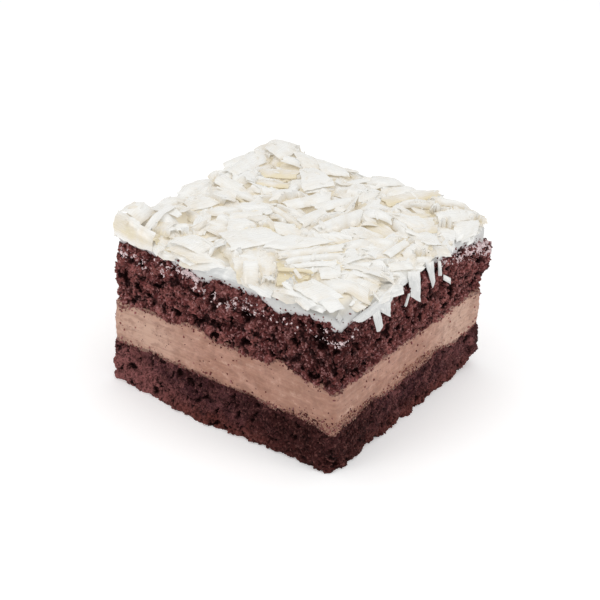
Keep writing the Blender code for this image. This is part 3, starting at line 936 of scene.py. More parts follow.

# plates picked in the photo: four corners in its pixels (along the first edge, then back),
# the corners' heights in mm, tone, and bulge across in mm
tracedPlates = {
    "draped sheet": ((232, 257), (277, 241.5), (277, 286.5), (236, 284), (47.4, 47.6, 43.6, 43.8), 0.55, 0.9),
    "flake on it": (
        (243, 261), (258.5, 260.5), (257.5, 285.5), (240, 284.5), (47.7, 47.9, 44.4, 44.5), 0.2, 0.5,
    ),
    "three-cornered": ((262, 247), (287, 234), (337, 241), (287, 250.5), (48.3, 48.6, 48.4, 47.9), 0.05, 0.3),
    "first strip": ((278, 251), (345, 243), (343, 250), (278, 258.5), (47.8, 48.2, 47.9, 47.4), 0.35, 0.5),
    "second strip": ((287, 257), (346, 252), (343, 258), (286, 263), (47.6, 48.0, 47.6, 47.3), 0.0, 0.5),
    "third strip": ((290, 263.5), (337, 260), (336, 265.5), (296, 267.5), (47.2, 47.6, 47.3, 47.0), 0.0, 0.4),
    # a sheet laid in the hollow near the front, its high tone painted shade
    "shaded tan hollow": ((277, 258), (318, 263), (308, 280), (277, 286), (46.3, 46.3, 45.6, 45.4), 3.0, -0.5),
    "thin tan strip": (
        (278, 266.5), (314, 271), (313, 273.5), (278, 270), (46.9, 46.9, 46.7, 46.7), 2.0, 0.1,
    ),
    "crossing strip": (
        (289, 265), (292.5, 264), (302.5, 278), (299, 279), (47.0, 47.0, 46.6, 46.6), 0.5, 0.1,
    ),
    "near corner": ((290, 287), (312, 278), (344, 297), (318, 304), (45.8, 46.4, 45.4, 44.8), 0.1, 0.5),
    "bright corner": ((314, 299), (334, 296), (345, 308), (330, 312), (45.2, 45.5, 44.9, 44.5), 0.0, 0.3),
    "front plate": ((318, 267), (340, 264), (341, 277), (321, 279), (46.8, 47.0, 46.4, 46.3), 0.05, 0.4),
    "right plate": ((386, 264), (404, 260), (414, 268), (392, 271), (46.4, 46.5, 46.0, 45.9), 0.1, 0.3),
    "right thin strip": (
        (384, 272), (401, 272.5), (400, 276), (385, 276), (45.9, 45.9, 45.6, 45.6), 0.0, 0.1,
    ),
    "right rim strip": ((415, 256), (442, 259), (441, 266), (417, 262), (46.0, 45.8, 45.2, 45.5), 0.1, 0.4),
    "rolled curl": ((309, 227), (362, 207), (361, 222), (322, 235), (48.4, 48.8, 48.0, 47.8), 0.1, 1.9),
    "fold, left leg": ((275, 206), (304, 224), (300, 229), (272, 211), (48.4, 48.0, 47.6, 48.0), 0.7, 0.2),
    "fold, right leg": ((297, 219), (321, 207), (329, 214), (304, 227), (48.7, 49.0, 48.4, 48.0), 0.1, 0.4),
    "middle sheet": ((281, 201), (331, 190), (330, 203), (289, 209), (48.6, 48.8, 48.2, 48.0), 0.15, 0.8),
    "long plate": ((311, 204), (378, 191), (378, 198), (318, 212), (48.5, 48.6, 48.2, 48.0), 0.1, 0.4),
    "white block": ((299, 169), (314, 166), (336, 184), (303, 190), (49.0, 49.2, 48.8, 48.4), 0.0, 0.8),
    "yellow plate": ((378, 197), (440, 187), (441, 196), (388, 206), (48.0, 48.0, 47.5, 47.5), 1.3, 0.5),
    "plate over it": ((383, 211), (434, 217), (434, 229), (412, 229), (47.9, 47.6, 47.2, 47.2), 0.3, 0.5),
    "slanting strip": ((383, 253), (404, 239), (411, 244), (391, 257), (47.0, 47.3, 46.9, 46.6), 0.05, 0.3),
    "far left ridge": ((222, 170), (258, 147), (266, 160), (238, 177), (48.4, 49.4, 49.0, 48.2), 0.1, 0.9),
    "peak": ((264, 147), (278, 138.5), (298, 150.5), (280, 160), (49.4, 50.4, 49.2, 48.8), 0.1, 0.6),
    "back ridge": ((291, 150), (311, 155), (322, 170), (303, 167), (49.2, 48.9, 48.3, 48.6), 0.35, 0.8),
    "back ridge end": ((313, 156), (345, 168), (350, 176), (323, 174), (48.9, 48.1, 47.9, 48.2), 0.1, 0.7),
    # a sheet laid under the back ridge, its warm tone painted shade
    "far yellow shade strip": ((262, 168), (300, 170), (296, 178), (260, 177), (48.7, 48.7, 48.2, 48.2), 1.3, 0.3),
    "near yellow stripe": (
        (258, 179), (290, 183), (288, 188), (256, 185), (48.4, 48.3, 48.0, 48.1), 1.2, 0.2,
    ),
    "left plate": ((185, 203), (206, 196), (222, 203), (190, 212), (48.2, 48.4, 48.1, 47.8), 0.4, 0.4),
    "stacked strip": ((229, 213), (262, 210), (262, 217), (230, 219), (48.2, 48.3, 48.0, 47.9), 0.3, 0.3),
    "wide flat plate": ((219, 232), (262, 226), (290, 240), (232, 250), (47.9, 48.2, 48.2, 47.6), 0.1, 0.4),
    "left rim plate": ((166, 240), (192, 233), (216, 245), (200, 254), (46.6, 47.0, 46.8, 46.2), 0.25, 0.5),
    "lower rim plate": ((165, 248), (185, 244), (219, 262), (196, 263), (45.2, 46.0, 45.6, 44.6), 0.45, 0.4),
    "right back ridge": ((432, 195), (466, 203), (464, 208), (436, 204), (48.9, 48.9, 48.0, 47.9), 0.5, 0.6),
    "beige ridge": ((410, 203), (433, 203), (430, 209), (412, 207), (48.6, 48.6, 47.8, 47.8), 0.8, 0.4),
    "beige stripe": ((400, 212), (432, 214), (422, 220), (402, 218), (48.2, 48.2, 47.4, 47.4), 1.5, 0.3),
    "beige hollow": ((412, 228), (438, 224), (437, 232), (414, 235), (47.6, 47.6, 46.8, 46.8), 0.9, 0.3),
    "corner sheet": ((434, 212), (461, 207), (470, 219), (440, 223), (48.2, 48.0, 46.9, 47.2), 0.1, 0.6),
    "smooth slope": ((452, 222), (480, 218), (481, 235), (457, 241), (46.8, 46.4, 44.3, 44.4), 0.0, 0.9),
    "wavy slope": ((438, 226), (456, 230), (454, 244), (437, 239), (46.8, 45.9, 44.5, 45.5), -0.2, 0.6),
}
plateReach = 36.5      # mm from the cake's middle that a traced corner may lie

# the curled block at the far left corner, its top and two front faces: corners in mm, tone and bulge
blockPlates = (
    ((-35.2, -34.4, 50.2), (-34.4, -29.5, 51.0), (-29.0, -27.5, 49.4), (-28.0, -34.6, 48.4), 0.15, 1.4),
    ((-35.5, -35.0, 50.0), (-28.0, -35.0, 48.8), (-26.5, -36.6, 43.0), (-35.7, -36.4, 42.6), 0.15, 1.0),
    ((-31.5, -35.4, 48.6), (-23.0, -34.6, 47.2), (-22.5, -36.4, 42.6), (-30.5, -36.9, 42.6), 0.3, 1.0),
)


def plateCorners():
    # every plate's corners in mm, tone and bulge
    found = []
    for *picks, heights, tone, bulge in tracedPlates.values():
        corners = [photoPoint(*pick, 2, height) for pick, height in zip(picks, heights)]
        for corner in corners:
            corner[:2] = np.clip(corner[:2], -plateReach, plateReach)
        found.append((*corners, tone, bulge))
    return [*found, *blockPlates]


plates = plateCorners()
# placed shavings that the plates stand for
platedInstead = {0, 1, 4, 5, 6, 7, 8, 9, 10, 17, 18, 19, 20, 21, 22}

# shards that hang down the right side, picked in the photo: corners in its pixels, the upper two
# first, and how far those two reach up behind the cream's edge, in mm
tracedShards = {
    "long": ((409, 278), (420, 278), (417.5, 301), (409, 296.5), 1.8),
    "second": ((370, 311), (379, 311), (380, 325), (374, 331), 1.4),
    "wedge": ((379, 311), (389, 311), (388, 316), (380, 312), 2.8),
    "ragged": ((426, 266), (434, 266), (433, 280), (430, 287), 1.3),
    "sliver": ((438, 266), (440, 266), (440, 275), (437, 275), 1.5),
    "square": ((442, 274), (448, 277), (447, 283), (441, 279), 0.0),
    "loose sliver": ((407.5, 292), (408.5, 292), (403, 306), (402, 305), 0.0),
    "cream lobe": ((352, 321), (396, 284), (392, 300), (361, 322), 0.0),
}

# in mm: the plane the shards are picked in, how far out they lie at a height, how much nearer for each mm
# above it, and how far their edges curl in
shard = {
    "plane": 36.0,
    "out": 37.2,
    "atHeight": 35,
    "slant": 0.14,
    "curl": 0.25,
    "thickness": 0.5 * mm,
    "tone": -0.8,
}

# where the top sags below the pile's even height: x, y, radius and drop
topSags = (
    (35, -35, 15, 2.2), (16, -35, 9, 1.4), (-12, -35, 8, 1.0), (35, -8, 11, 1.2), (35, 16, 8, 0.8),
    (-10, 36, 10, 1.7), (9, 36, 6, 0.5), (-35, 34, 5, -0.9),
)


def sagAt(x, y):
    total = 0.0
    for sagX, sagY, radius, drop in topSags:
        total = total + drop * mm * np.exp(-((x / mm - sagX) ** 2 + (y / mm - sagY) ** 2) / radius ** 2)
    return total


def randomOutline(draw):
    first, last = shaving["endWidths"]
    ranges = (first, shaving["middleWidths"], shaving["middleWidths"], last)
    widths = [draw.uniform(*limits) for limits in ranges]
    drifts = [draw.uniform(-shaving["drift"], shaving["drift"]) for _ in widths]
    return widths, drifts


def shavingTurn(heading, pitch, roll):
    turn = Euler((math.radians(roll), math.radians(-pitch), math.radians(heading)), "XYZ")
    return np.array(turn.to_matrix())


def bentSheet(s, t, length, width, curl, outline):
    # points of a shaving before it is turned, for grids s along it and t across, 0 to 1
    widths, drifts = outline
    stations = np.linspace(0, 1, len(widths))
    bend = math.radians(curl if abs(curl) > 1 else 1)
    radius = length / bend
    angle = bend * (s - 0.5)
    across = (t - 0.5) * np.interp(s, stations, widths) + np.interp(s, stations, drifts)
    return np.stack([radius * np.sin(angle), width * across, radius * (np.cos(angle) - 1)], -1)


def wobble(draw, places, waves, first=1):
    # a smooth random line, about -1 to 1
    total = np.zeros_like(places)
    for k in range(first, first + waves):
        size = draw.uniform(0.4, 1.0) / (k - first + 1) ** 0.7
        total = total + size * np.sin(2 * math.pi * (k * places + draw.random()))
    return total / 1.6


class PileHeights:
    # heights of the pile so far, in square cells over the cake
    def __init__(self, start):
        self.cells = shaving["mapCells"]
        self.rows = np.full((self.cells, self.cells), start)

    def places(self, x, y):
        column = np.trunc((x / cake["side"] + 0.5) * self.cells).astype(int)
        row = np.trunc((y / cake["side"] + 0.5) * self.cells).astype(int)
        inside = (column >= 0) & (column < self.cells) & (row >= 0) & (row < self.cells)
        return row[inside], column[inside], inside

    def gaps(self, x, y, samples):
        row, column, inside = self.places(x + samples[:, 0], y + samples[:, 1])
        return self.rows[row, column] - samples[inside, 2]

    def pileUp(self, x, y, z, samples, thickness):
        row, column, inside = self.places(x + samples[:, 0], y + samples[:, 1])
        np.maximum.at(self.rows, (row, column), z + samples[inside, 2] + thickness / 2)


def around(heights):
    # each cell's height with its eight neighbours'
    padded = np.pad(heights, 1, mode="edge")
    rows, columns = heights.shape
    return np.stack([padded[i:i + rows, j:j + columns] for i in range(3) for j in range(3)])


def sheetSamples(length, width, curl, outline, turn):
    s, t = np.meshgrid(np.linspace(0, 1, 13), np.linspace(0, 1, 7), indexing="ij")
    return bentSheet(s, t, length, width, curl, outline).reshape(-1, 3) @ turn.T


def restHeight(pile, x, y, samples, thickness, sink, bridging):
    gaps = pile.gaps(x, y, samples)
    return min(gaps.max() - sink, gaps.mean() + bridging) + thickness / 2


def heldIn(place, reach):
    most = half + shaving["mostOverhang"]
    return max(-most - reach.min(), min(most - reach.max(), place))


def underHeroes(grid):
    # the highest that other sheets may reach, so that the placed ones show
    place = ((grid[..., :2] / cake["side"] + 0.5) * heroTops.cells).astype(int).clip(0, heroTops.cells - 1)
    tops = heroTops.rows[place[..., 1], place[..., 0]]
    return np.where(tops > 0, tops - shaving["heroDrop"], 1.0)      # a metre is no limit


def hollowShading(points):
    # how far each point lies below the top of the pile round it, 0 to 1: the share of painted shade in the
    # pile's hollows
    wide = around(surface.rows).max(0)
    place = ((points[:, :2] / cake["side"] + 0.5) * surface.cells).astype(int).clip(0, surface.cells - 1)
    below = wide[place[:, 1], place[:, 0]] - points[:, 2]
    return np.clip(below / toning["hollowDepth"] - toning["hollowStart"], 0, 1)


def nearFront(x, y):
    return math.hypot(x - half, y + half) < shaving["cornerFree"]


class SheetPile:
    # gathers thin closed sheets, to be joined into one piece
    def __init__(self):
        self.points = []
        self.faces = []
        self.tones = []
        self.grains = []
        self.count = 0

    def addSheet(self, grid, thickness, tone, grain):
        rows, columns = grid.shape[:2]
        surface.pileUp(0.0, 0.0, 0.0, grid.reshape(-1, 3), thickness)
        along = np.gradient(grid, axis=0)
        across = np.gradient(grid, axis=1)
        normal = np.cross(along, across)
        normal /= np.linalg.norm(normal, axis=2, keepdims=True) + 1e-12
        i, j = np.meshgrid(np.arange(rows), np.arange(columns), indexing="ij")
        fromEdge = np.minimum(np.minimum(i, rows - 1 - i), np.minimum(j, columns - 1 - j))
        wall = thickness * np.where(fromEdge == 0, 0.32, np.where(fromEdge == 1, 0.85, 1.0)) / 2
        upper = grid + normal * wall[..., None]
        under = grid - normal * wall[..., None]
        start = self.count
        size = rows * columns
        index = np.arange(size).reshape(rows, columns) + start
        a, b, c, d = index[:-1, :-1], index[1:, :-1], index[1:, 1:], index[:-1, 1:]
        self.faces.extend(np.stack([a, b, c, d], -1).reshape(-1, 4).tolist())
        self.faces.extend((np.stack([a, d, c, b], -1) + size).reshape(-1, 4).tolist())
        loop = [*index[:, 0], *index[-1, 1:], *index[-2::-1, -1], *index[0, -2:0:-1]]
        for k, first in enumerate(loop):
            second = loop[(k + 1) % len(loop)]
            self.faces.append([int(first) + size, int(second) + size, int(second), int(first)])
        self.points.append(upper.reshape(-1, 3))
        self.points.append(under.reshape(-1, 3))
        self.grains.extend([grain.reshape(-1, 3)] * 2)
        # painted shade: each sheet's lower parts take more tone, warmer and darker
        height = grid[..., 2].ravel()
        low = (height.max() - height) / max(np.ptp(height), 1e-6)
        self.tones.append(np.tile(tone * (0.3 + 0.9 * low) + 0.12 * low, 2))
        self.count += size * 2

    def addShaving(self, place, turn, length, width, curl, outline, tone, draw, thickness, under=True):
        steps = max(5, round(length / shaving["cellAlong"]))
        lanes = max(4, round(width / shaving["cellAcross"]))
        s, t = np.meshgrid(np.linspace(0, 1, steps + 1), np.linspace(0, 1, lanes + 1), indexing="ij")
        ragged = (2 * s - 1) * 0.03 * wobble(draw, t, 5, 1)
        slant = draw.uniform(-0.5, 0.5) * (t - 0.5) * width / length
        sheet = bentSheet(np.clip(s + ragged + slant, -0.2, 1.2), t, length, width, curl, outline)
        sheet[..., 1] *= 1 + 0.06 * wobble(draw, s, 6, 2) * np.abs(2 * t - 1)
        cup = draw.uniform(-0.10, 0.34) * width
        sheet[..., 2] -= cup * (2 * t - 1) ** 2
        sheet[..., 2] += 0.20 * mm * wobble(draw, s, 3, 1) + 0.12 * mm * wobble(draw, t, 4, 1)
        grid = sheet @ turn.T + place
        grid[..., 2] -= sagAt(grid[..., 0], grid[..., 1])
        grid[..., 2] = np.minimum(grid[..., 2], underHeroes(grid) if under else grid[..., 2])
        overCake = np.maximum(np.abs(grid[..., 0]), np.abs(grid[..., 1])) < half + shaving["sideClearance"]
        lowest = np.vectorize(upperLine)(grid[..., 0], grid[..., 1]) + shaving["creamClearance"] + thickness
        lowest = np.where(overCake, lowest, lowest - 1.4 * mm)
        grid[..., 2] = np.maximum(grid[..., 2], lowest)
        nearRim = np.maximum(np.abs(grid[..., 0]), np.abs(grid[..., 1])) > half - shaving["rimWidth"]
        top = np.where(nearRim & under, shaving["rimTop"], shaving["pileTop"])
        grid[..., 2] = np.minimum(grid[..., 2], top - thickness / 2)
        grain = np.stack([s * length / mm, t * width / mm, np.full_like(s, draw.uniform(0, 90))], -1)
        self.addSheet(grid, thickness, tone, grain)

    def finish(self, name, look):
        points = np.vstack(self.points)
        # painted shade: more tone in the pile's hollows
        tones = np.concatenate(self.tones) + toning["hollowShade"] * hollowShading(points)
        tones -= toning["rim"] * np.clip((toning["rimTop"] - points[:, 2]) / toning["rimHeight"], 0, 1)
        piece = newPiece(name, points + (middleX, middleY, 0.0), self.faces, look)
        setAttribute(piece.data, "tone", tones)
        setAttribute(piece.data, "grain", np.vstack(self.grains))
        piece.data.set_sharp_from_angle(angle=math.radians(50))
        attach(piece, "root")
        print(name, "made:", len(piece.data.polygons))
        return piece


looks = random.Random(7)     # waves and tones, kept apart from the draws that place the shavings
surface = PileHeights(cake["whiteTop"])    # every sheet so far, in full
heroTops = PileHeights(-1.0)               # the placed shavings and plates


def drawnSize(draw, settings):
    # length, width and curl
    length = draw.uniform(*settings["lengths"]) * mm
    width = draw.uniform(*settings["widths"]) * mm
    return length, width, draw.uniform(*settings["curls"])


def scatterShavings(sheets):
    pile = PileHeights(cake["whiteTop"])       # as the solids' own pile is built
    draw = random.Random(shaving["seed"])
    spacing = cake["side"] / shaving["rows"]
    places = []
    for row in range(shaving["rows"]):
        for column in range(shaving["rows"]):
            across = column + 0.5 + draw.uniform(-shaving["spread"], shaving["spread"])
            along = row + 0.5 + draw.uniform(-shaving["spread"], shaving["spread"])
            places.append((across * spacing - half, along * spacing - half))
    draw.shuffle(places)
    thick = shaving["solidThickness"]
    for x, y in places:
        form = (*drawnSize(draw, shaving), randomOutline(draw))
        lean = (draw.gauss(0, shaving["lean"]), draw.gauss(0, shaving["lean"]))
        turn = shavingTurn(draw.uniform(0, 360), *lean)
        samples = sheetSamples(*form, turn)
        x = heldIn(x, samples[:, 0])
        y = heldIn(y, samples[:, 1])
        z = restHeight(pile, x, y, samples, thick, shaving["sink"], shaving["mostBridging"])
        pile.pileUp(x, y, z, samples, thick)
        tone = looks.uniform(0.0, 0.75) ** 1.6
        if not nearFront(x, y):
            sheets.addShaving((x, y, z), turn, *form, tone, looks, shaving["thickness"])


def plateGrid(corners, bulge, draw):
    # a bulged patch between four corners, with slightly ragged edges
    a, b, c, d = (np.array(corner) for corner in corners)
    length, width = np.linalg.norm(b - a), np.linalg.norm(d - a)
    cell = shaving["plateCell"]
    steps, lanes = max(6, round(length / cell)), max(4, round(width / cell))
    s, t = np.meshgrid(np.linspace(0, 1, steps + 1), np.linspace(0, 1, lanes + 1), indexing="ij")
    u = s + (2 * s - 1) * 0.035 * wobble(draw, t, 5, 1)
    v = t + (2 * t - 1) * 0.04 * wobble(draw, s, 5, 1)
    u, v = u[..., None], v[..., None]
    grid = (1 - v) * ((1 - u) * a + u * b) + v * ((1 - u) * d + u * c)
    normal = np.cross(d - a, b - a)
    lift = bulge * (0.5 - (2 * t - 1) ** 2) + 0.3 * bulge * (0.5 - (2 * s - 1) ** 2)
    lift += 0.16 * wobble(draw, s, 3, 1) + 0.12 * wobble(draw, t, 4, 1)
    grid = grid + lift[..., None] * normal / np.linalg.norm(normal)
    grain = np.stack([s * length, t * width, np.full_like(s, draw.uniform(0, 90))], -1)
    return grid * mm, grain


def placePlates(sheets):
    draw = random.Random(shaving["seed"] + 2)
    for *corners, tone, bulge in plates:
        grid, grain = plateGrid(corners, bulge, draw)
        sheets.addSheet(grid, shaving["thickness"], tone, grain)


def placeLargeShavings(sheets):
    draw = random.Random(shaving["seed"] + 1)
    for number, (x, y, z, heading, pitch, roll, length, width, curl, tone) in enumerate(placedShavings):
        outline = randomOutline(draw)
        if number in platedInstead:
            continue
        turn = shavingTurn(heading, pitch, roll)
        place = np.array((x, y, z)) * mm
        form = (length * mm, width * mm, curl, outline)
        sheets.addShaving(place, turn, *form, tone, looks, shaving["thickness"], under=False)


def hangShards(sheets):
    s, t = np.meshgrid(np.linspace(0, 1, 13), np.linspace(0, 1, 7), indexing="ij")
    for number, (*picks, lift) in enumerate(tracedShards.values()):
        a, b, c, d = (photoPoint(*pick, 0, shard["plane"])[1:] for pick in picks)
        a, b = a + (0.0, lift), b + (0.0, lift)
        u = (t + (2 * t - 1) * 0.04 * wobble(looks, s, 4, 1))[..., None]
        v = (s + (2 * s - 1) * 0.03 * wobble(looks, t, 3, 1))[..., None]
        side = (1 - v) * ((1 - u) * a + u * b) + v * ((1 - u) * d + u * c)
        out = shard["out"] - shard["slant"] * (side[..., 1] - shard["atHeight"])
        out = out - shard["curl"] * (2 * t - 1) ** 2
        grid = np.dstack([out, side]) * mm
        grain = np.stack([s * 6, t * 4, np.full_like(s, number * 7.3)], -1)
        sheets.addSheet(grid, shard["thickness"], shard["tone"], grain)


flake = {
    "count": 210,
    "lengths": (5.5, 15.0),
    "widths": (2.2, 6.2),
    "curls": (-20, 60),
    "lean": 4.0,
    "heading": (34, 45),      # most lie this way, give or take, in degrees
    "steepest": 0.3,
    "thickness": 0.28 * mm,
    "sink": 0.8 * mm,
    "bridging": 0.35 * mm,
    "under": 0.25 * mm,       # flakes stay this far below the large shavings that show
    "choices": 4,
    "seed": 12,
}
rimFlake = {
    "count": 17,              # on each side
    "reach": 31.0 * mm,
    "lengths": (5.0, 10.5),
    "widths": (2.8, 5.0),
    "curls": (5, 40),
    "inset": (-0.2, 1.6),
    "rise": (2.6, 4.6),
    "roll": (25, 60),
    "headingSpread": 22,
    "pitchSpread": 6,
    "sagShare": 0.8,          # of the pile's own sag
    "thickness": 0.42 * mm,
    "seed": 31,
}


def flakeOutline(draw):
    # blunter than the large shavings: broken plates
    widths = [draw.uniform(*limits) for limits in ((0.55, 1.0), (0.85, 1.05), (0.85, 1.05), (0.5, 1.0))]
    drifts = [draw.uniform(-0.08, 0.08) for _ in widths]
    return widths, drifts


def slopesUnder(x, y, heading, length, width):
    # how the surface slopes under a flake, along it and across it
    u, v = np.meshgrid(np.linspace(-0.5, 0.5, 9) * length, np.linspace(-0.5, 0.5, 5) * width)
    u, v = u.ravel(), v.ravel()
    c, s = math.cos(math.radians(heading)), math.sin(math.radians(heading))
    row, column, inside = surface.places(x + c * u - s * v, y + s * u + c * v)
    if inside.sum() < 12:
        return 0.0, 0.0
    places = np.stack([u[inside], v[inside], np.ones(inside.sum())], 1)
    slopes = np.linalg.lstsq(places, surface.rows[row, column], rcond=None)[0][:2]
    return np.clip(slopes, -flake["steepest"], flake["steepest"])


def flakeSpot(draw, heading, lean, form):
    # the lowest of a few random places, with the flake lying along the surface
    best = None
    for _ in range(flake["choices"]):
        x, y = draw.uniform(-half, half), draw.uniform(-half, half)
        along, across = slopesUnder(x, y, heading, *form[:2])
        pitch = math.degrees(math.atan(along)) + lean[0]
        roll = math.degrees(math.atan(across)) + lean[1]
        turn = shavingTurn(heading, pitch, roll)
        samples = sheetSamples(*form, turn)
        x, y = heldIn(x, samples[:, 0]), heldIn(y, samples[:, 1])
        z = restHeight(surface, x, y, samples, flake["thickness"], flake["sink"], flake["bridging"])
        row, column, inside = heroTops.places(x + samples[:, 0], y + samples[:, 1])
        covers = heroTops.rows[row, column]
        blocked = (covers > 0) & (z + samples[inside, 2] > covers - flake["under"])
        if blocked.mean() < 0.35 and (best is None or z < best[0][2]):
            best = (x, y, z), turn
    return best


def scatterFlakes(sheets):
    draw = random.Random(flake["seed"])
    for _ in range(flake["count"]):
        form = (*drawnSize(draw, flake), flakeOutline(draw))
        lean = (draw.gauss(0, flake["lean"]), draw.gauss(0, flake["lean"]))
        heading = draw.gauss(*flake["heading"])
        tone = draw.uniform(0.0, 1.0) ** 1.8
        spot = flakeSpot(draw, heading, lean, form)
        if spot and not nearFront(*spot[0][:2]):
            place, turn = spot
            sheets.addShaving(place, turn, *form, tone, draw, flake["thickness"])


def scatterRimFlakes(sheets):
    # flakes that lie against the white cream's rounded edge, all round
    draw = random.Random(rimFlake["seed"])
    for side in range(4):
        for number in range(rimFlake["count"]):
            share = (number + draw.uniform(0.1, 0.9)) / rimFlake["count"]
            along = (2 * share - 1) * rimFlake["reach"]
            inset = draw.uniform(*rimFlake["inset"]) * mm
            angle = math.radians(90 * side - 90)
            out = np.array((math.cos(angle), math.sin(angle)))
            x, y = out * (half - inset) + np.array((-out[1], out[0])) * along
            z = upperLine(x, y) + draw.uniform(*rimFlake["rise"]) * mm
            z += rimFlake["sagShare"] * sagAt(x, y)
            size = drawnSize(draw, rimFlake)
            heading = 90 * side + draw.gauss(0, rimFlake["headingSpread"])
            pitch = draw.gauss(0, rimFlake["pitchSpread"])
            turn = shavingTurn(heading, pitch, draw.uniform(*rimFlake["roll"]))
            tone = draw.uniform(-0.9, 0.5)
            form = (*size, flakeOutline(draw))
            if not nearFront(x, y):
                place = np.array((x, y, z))
                sheets.addShaving(place, turn, *form, tone, draw, rimFlake["thickness"])


def mapHeroes():
    # how high the placed shavings and plates lie, so that nothing covers them
    draw = random.Random(shaving["seed"] + 1)
    for number, (x, y, z, heading, pitch, roll, length, width, curl, _) in enumerate(placedShavings):
        turn = shavingTurn(heading, pitch, roll)
        samples = sheetSamples(length * mm, width * mm, curl, randomOutline(draw), turn)
        if number not in platedInstead:
            heroTops.pileUp(x * mm, y * mm, z * mm, samples, shaving["thickness"])
    draw = random.Random(shaving["seed"] + 2)
    for *corners, _, bulge in plates:
        grid = plateGrid(corners, bulge, draw)[0]
        heroTops.pileUp(0.0, 0.0, 0.0, grid.reshape(-1, 3), shaving["thickness"])


mapHeroes()
largeSheets = SheetPile()
scatterShavings(largeSheets)
flakeSheets = SheetPile()
scatterRimFlakes(flakeSheets)
scatterFlakes(flakeSheets)
placeLargeShavings(largeSheets)
placePlates(largeSheets)
largeShavings = largeSheets.finish("largeShavings", ivoryLook)
flakeSheets.finish("smallFlakes", ivoryLook)

shardSheets = SheetPile()
hangShards(shardSheets)
shardSheets.finish("hangingShards", ivoryLook)


# White cream: soft edge that droops over the sponge.

# the cream and broken chocolate that fill the pile from below
bed = around(around(surface.rows).min(0)).mean(0) - whiteCreamSettings["bedDepth"]


def bedTop(x, y):
    # the cream's own level near the sides, and the filled bed further in
    place = (np.array((x, y)) / cake["side"] + 0.5) * surface.cells - 0.5
    column, row = np.clip(place, 0, surface.cells - 1.001)
    i, j = int(row), int(column)
    u, v = row - i, column - j
    near = bed[i, j] * (1 - u) + bed[i + 1, j] * u
    far = bed[i, j + 1] * (1 - u) + bed[i + 1, j + 1] * u
    fill = near * (1 - v) + far * v
    inside = min(1.0, max(0.0, (half - max(abs(x), abs(y))) / whiteCreamSettings["bedStart"]))
    low = cake["whiteTop"] - (1 - inside) * whiteCreamSettings["edgeDrop"] - sagAt(x, y)
    return low + inside * max(0.0, fill - low)


whiteSides = sideRelief(whiteCreamSettings["reliefDepth"], whiteCreamSettings["reliefWidth"], 0.0, ())
whiteBottom = shifted(upperLine, -whiteCreamSettings["drop"])
whiteCream = layerShell("whiteCream", whiteBottom, bedTop, whiteSides, whiteCreamSettings)
whitePoints = pointsOf(whiteCream)
rimLine = np.array([upperLine(x - middleX, y - middleY) for x, y, _ in whitePoints])
rim = np.clip(1 - (whitePoints[:, 2] - rimLine) / whiteCreamSettings["thinHeight"], 0, 1)
setAttribute(whiteCream.data, "rim", rim)
inset = half - np.maximum(np.abs(whitePoints[:, 0] - middleX), np.abs(whitePoints[:, 1] - middleY))
setAttribute(whiteCream.data, "fill", np.clip(inset / whiteCreamSettings["fillWidth"] - 0.5, 0, 1))
runTree(
    whiteCream, creamTree("whiteCreamLumps", whiteLook, (0.25, 0.25, 0.7)),
    {"Streak Height": whiteCreamSettings["rippleHeight"] / mm,
     "Lump Height": whiteCreamSettings["lumpHeight"] / mm,
     "Lump Size": whiteCreamSettings["lumpSize"] / mm},
)
whiteCream.data.shade_smooth()
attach(whiteCream, "root")
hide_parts("white_cream")
print("white cream made:", len(whiteCream.data.polygons))


# Scattered bits: crumbs on the sponge, slivers on the pile.

def scatterTree(name, look, shape, seed):
    # strews one small shape over a surface; shape(graph) makes it, one unit long
    labels = ["Density", "Smallest", "Largest", "Flatness", "Sink", "Upright"]
    graph, wires, close = geometryTree(name, labels)
    weight = graph.add("GeometryNodeInputNamedAttribute", {"data_type": "FLOAT"}, {"Name": "strew"})
    spread = graph.add(
        "GeometryNodeDistributePointsOnFaces", {"distribute_method": "RANDOM"},
        {"Mesh": wires["Geometry"], "Density": weight * wires["Density"], "Seed": seed},
    )
    turn = Wire(graph, spread.socket.node.outputs["Rotation"])
    spin = graph.add("FunctionNodeRandomValue", {"data_type": "FLOAT_VECTOR"},
                     {0: (-1.0, -1.0, -3.1416), 1: (1.0, 1.0, 3.1416), "Seed": seed + 1})
    tilt = graph.add("ShaderNodeCombineXYZ", None, {0: wires["Upright"], 1: wires["Upright"], 2: 1.0})
    lean = graph.add("ShaderNodeVectorMath", {"operation": "MULTIPLY"}, {0: spin, 1: tilt})
    leaned = graph.add("FunctionNodeEulerToRotation", None, {0: lean})
    turned = graph.add("FunctionNodeRotateRotation", {"rotation_space": "LOCAL"}, {0: turn, 1: leaned})
    size = graph.add("FunctionNodeRandomValue", {"data_type": "FLOAT"},
                     {2: wires["Smallest"], 3: wires["Largest"], "Seed": seed + 2}, 1)
    stretch = graph.add("FunctionNodeRandomValue", {"data_type": "FLOAT_VECTOR"},
                        {0: (0.7, 0.6, 0.7), 1: (1.1, 1.2, 1.2), "Seed": seed + 3})
    flatten = graph.add("ShaderNodeCombineXYZ", None, {0: 1.0, 1: 1.0, 2: wires["Flatness"]})
    flat = graph.add("ShaderNodeVectorMath", {"operation": "MULTIPLY"}, {0: stretch, 1: flatten})
    scale = flat * (size * mm)
    placed = graph.add(
        "GeometryNodeInstanceOnPoints", None,
        {"Points": spread, "Instance": shape(graph), "Rotation": turned, "Scale": scale},
    )
    down = graph.add("ShaderNodeCombineXYZ", None, {2: wires["Sink"] * -mm})
    sunk = graph.add("GeometryNodeTranslateInstances", None, {"Instances": placed, "Translation": down})
    tones = {2: 0.0, 3: 0.35, "Seed": seed + 4}
    tone = graph.add("FunctionNodeRandomValue", {"data_type": "FLOAT"}, tones, 1)
    marked = graph.add(
        "GeometryNodeStoreNamedAttribute", {"data_type": "FLOAT", "domain": "INSTANCE"},
        {"Geometry": sunk, "Name": "tone", "Value": tone},
    )
    close(marked, look)
    return graph.tree


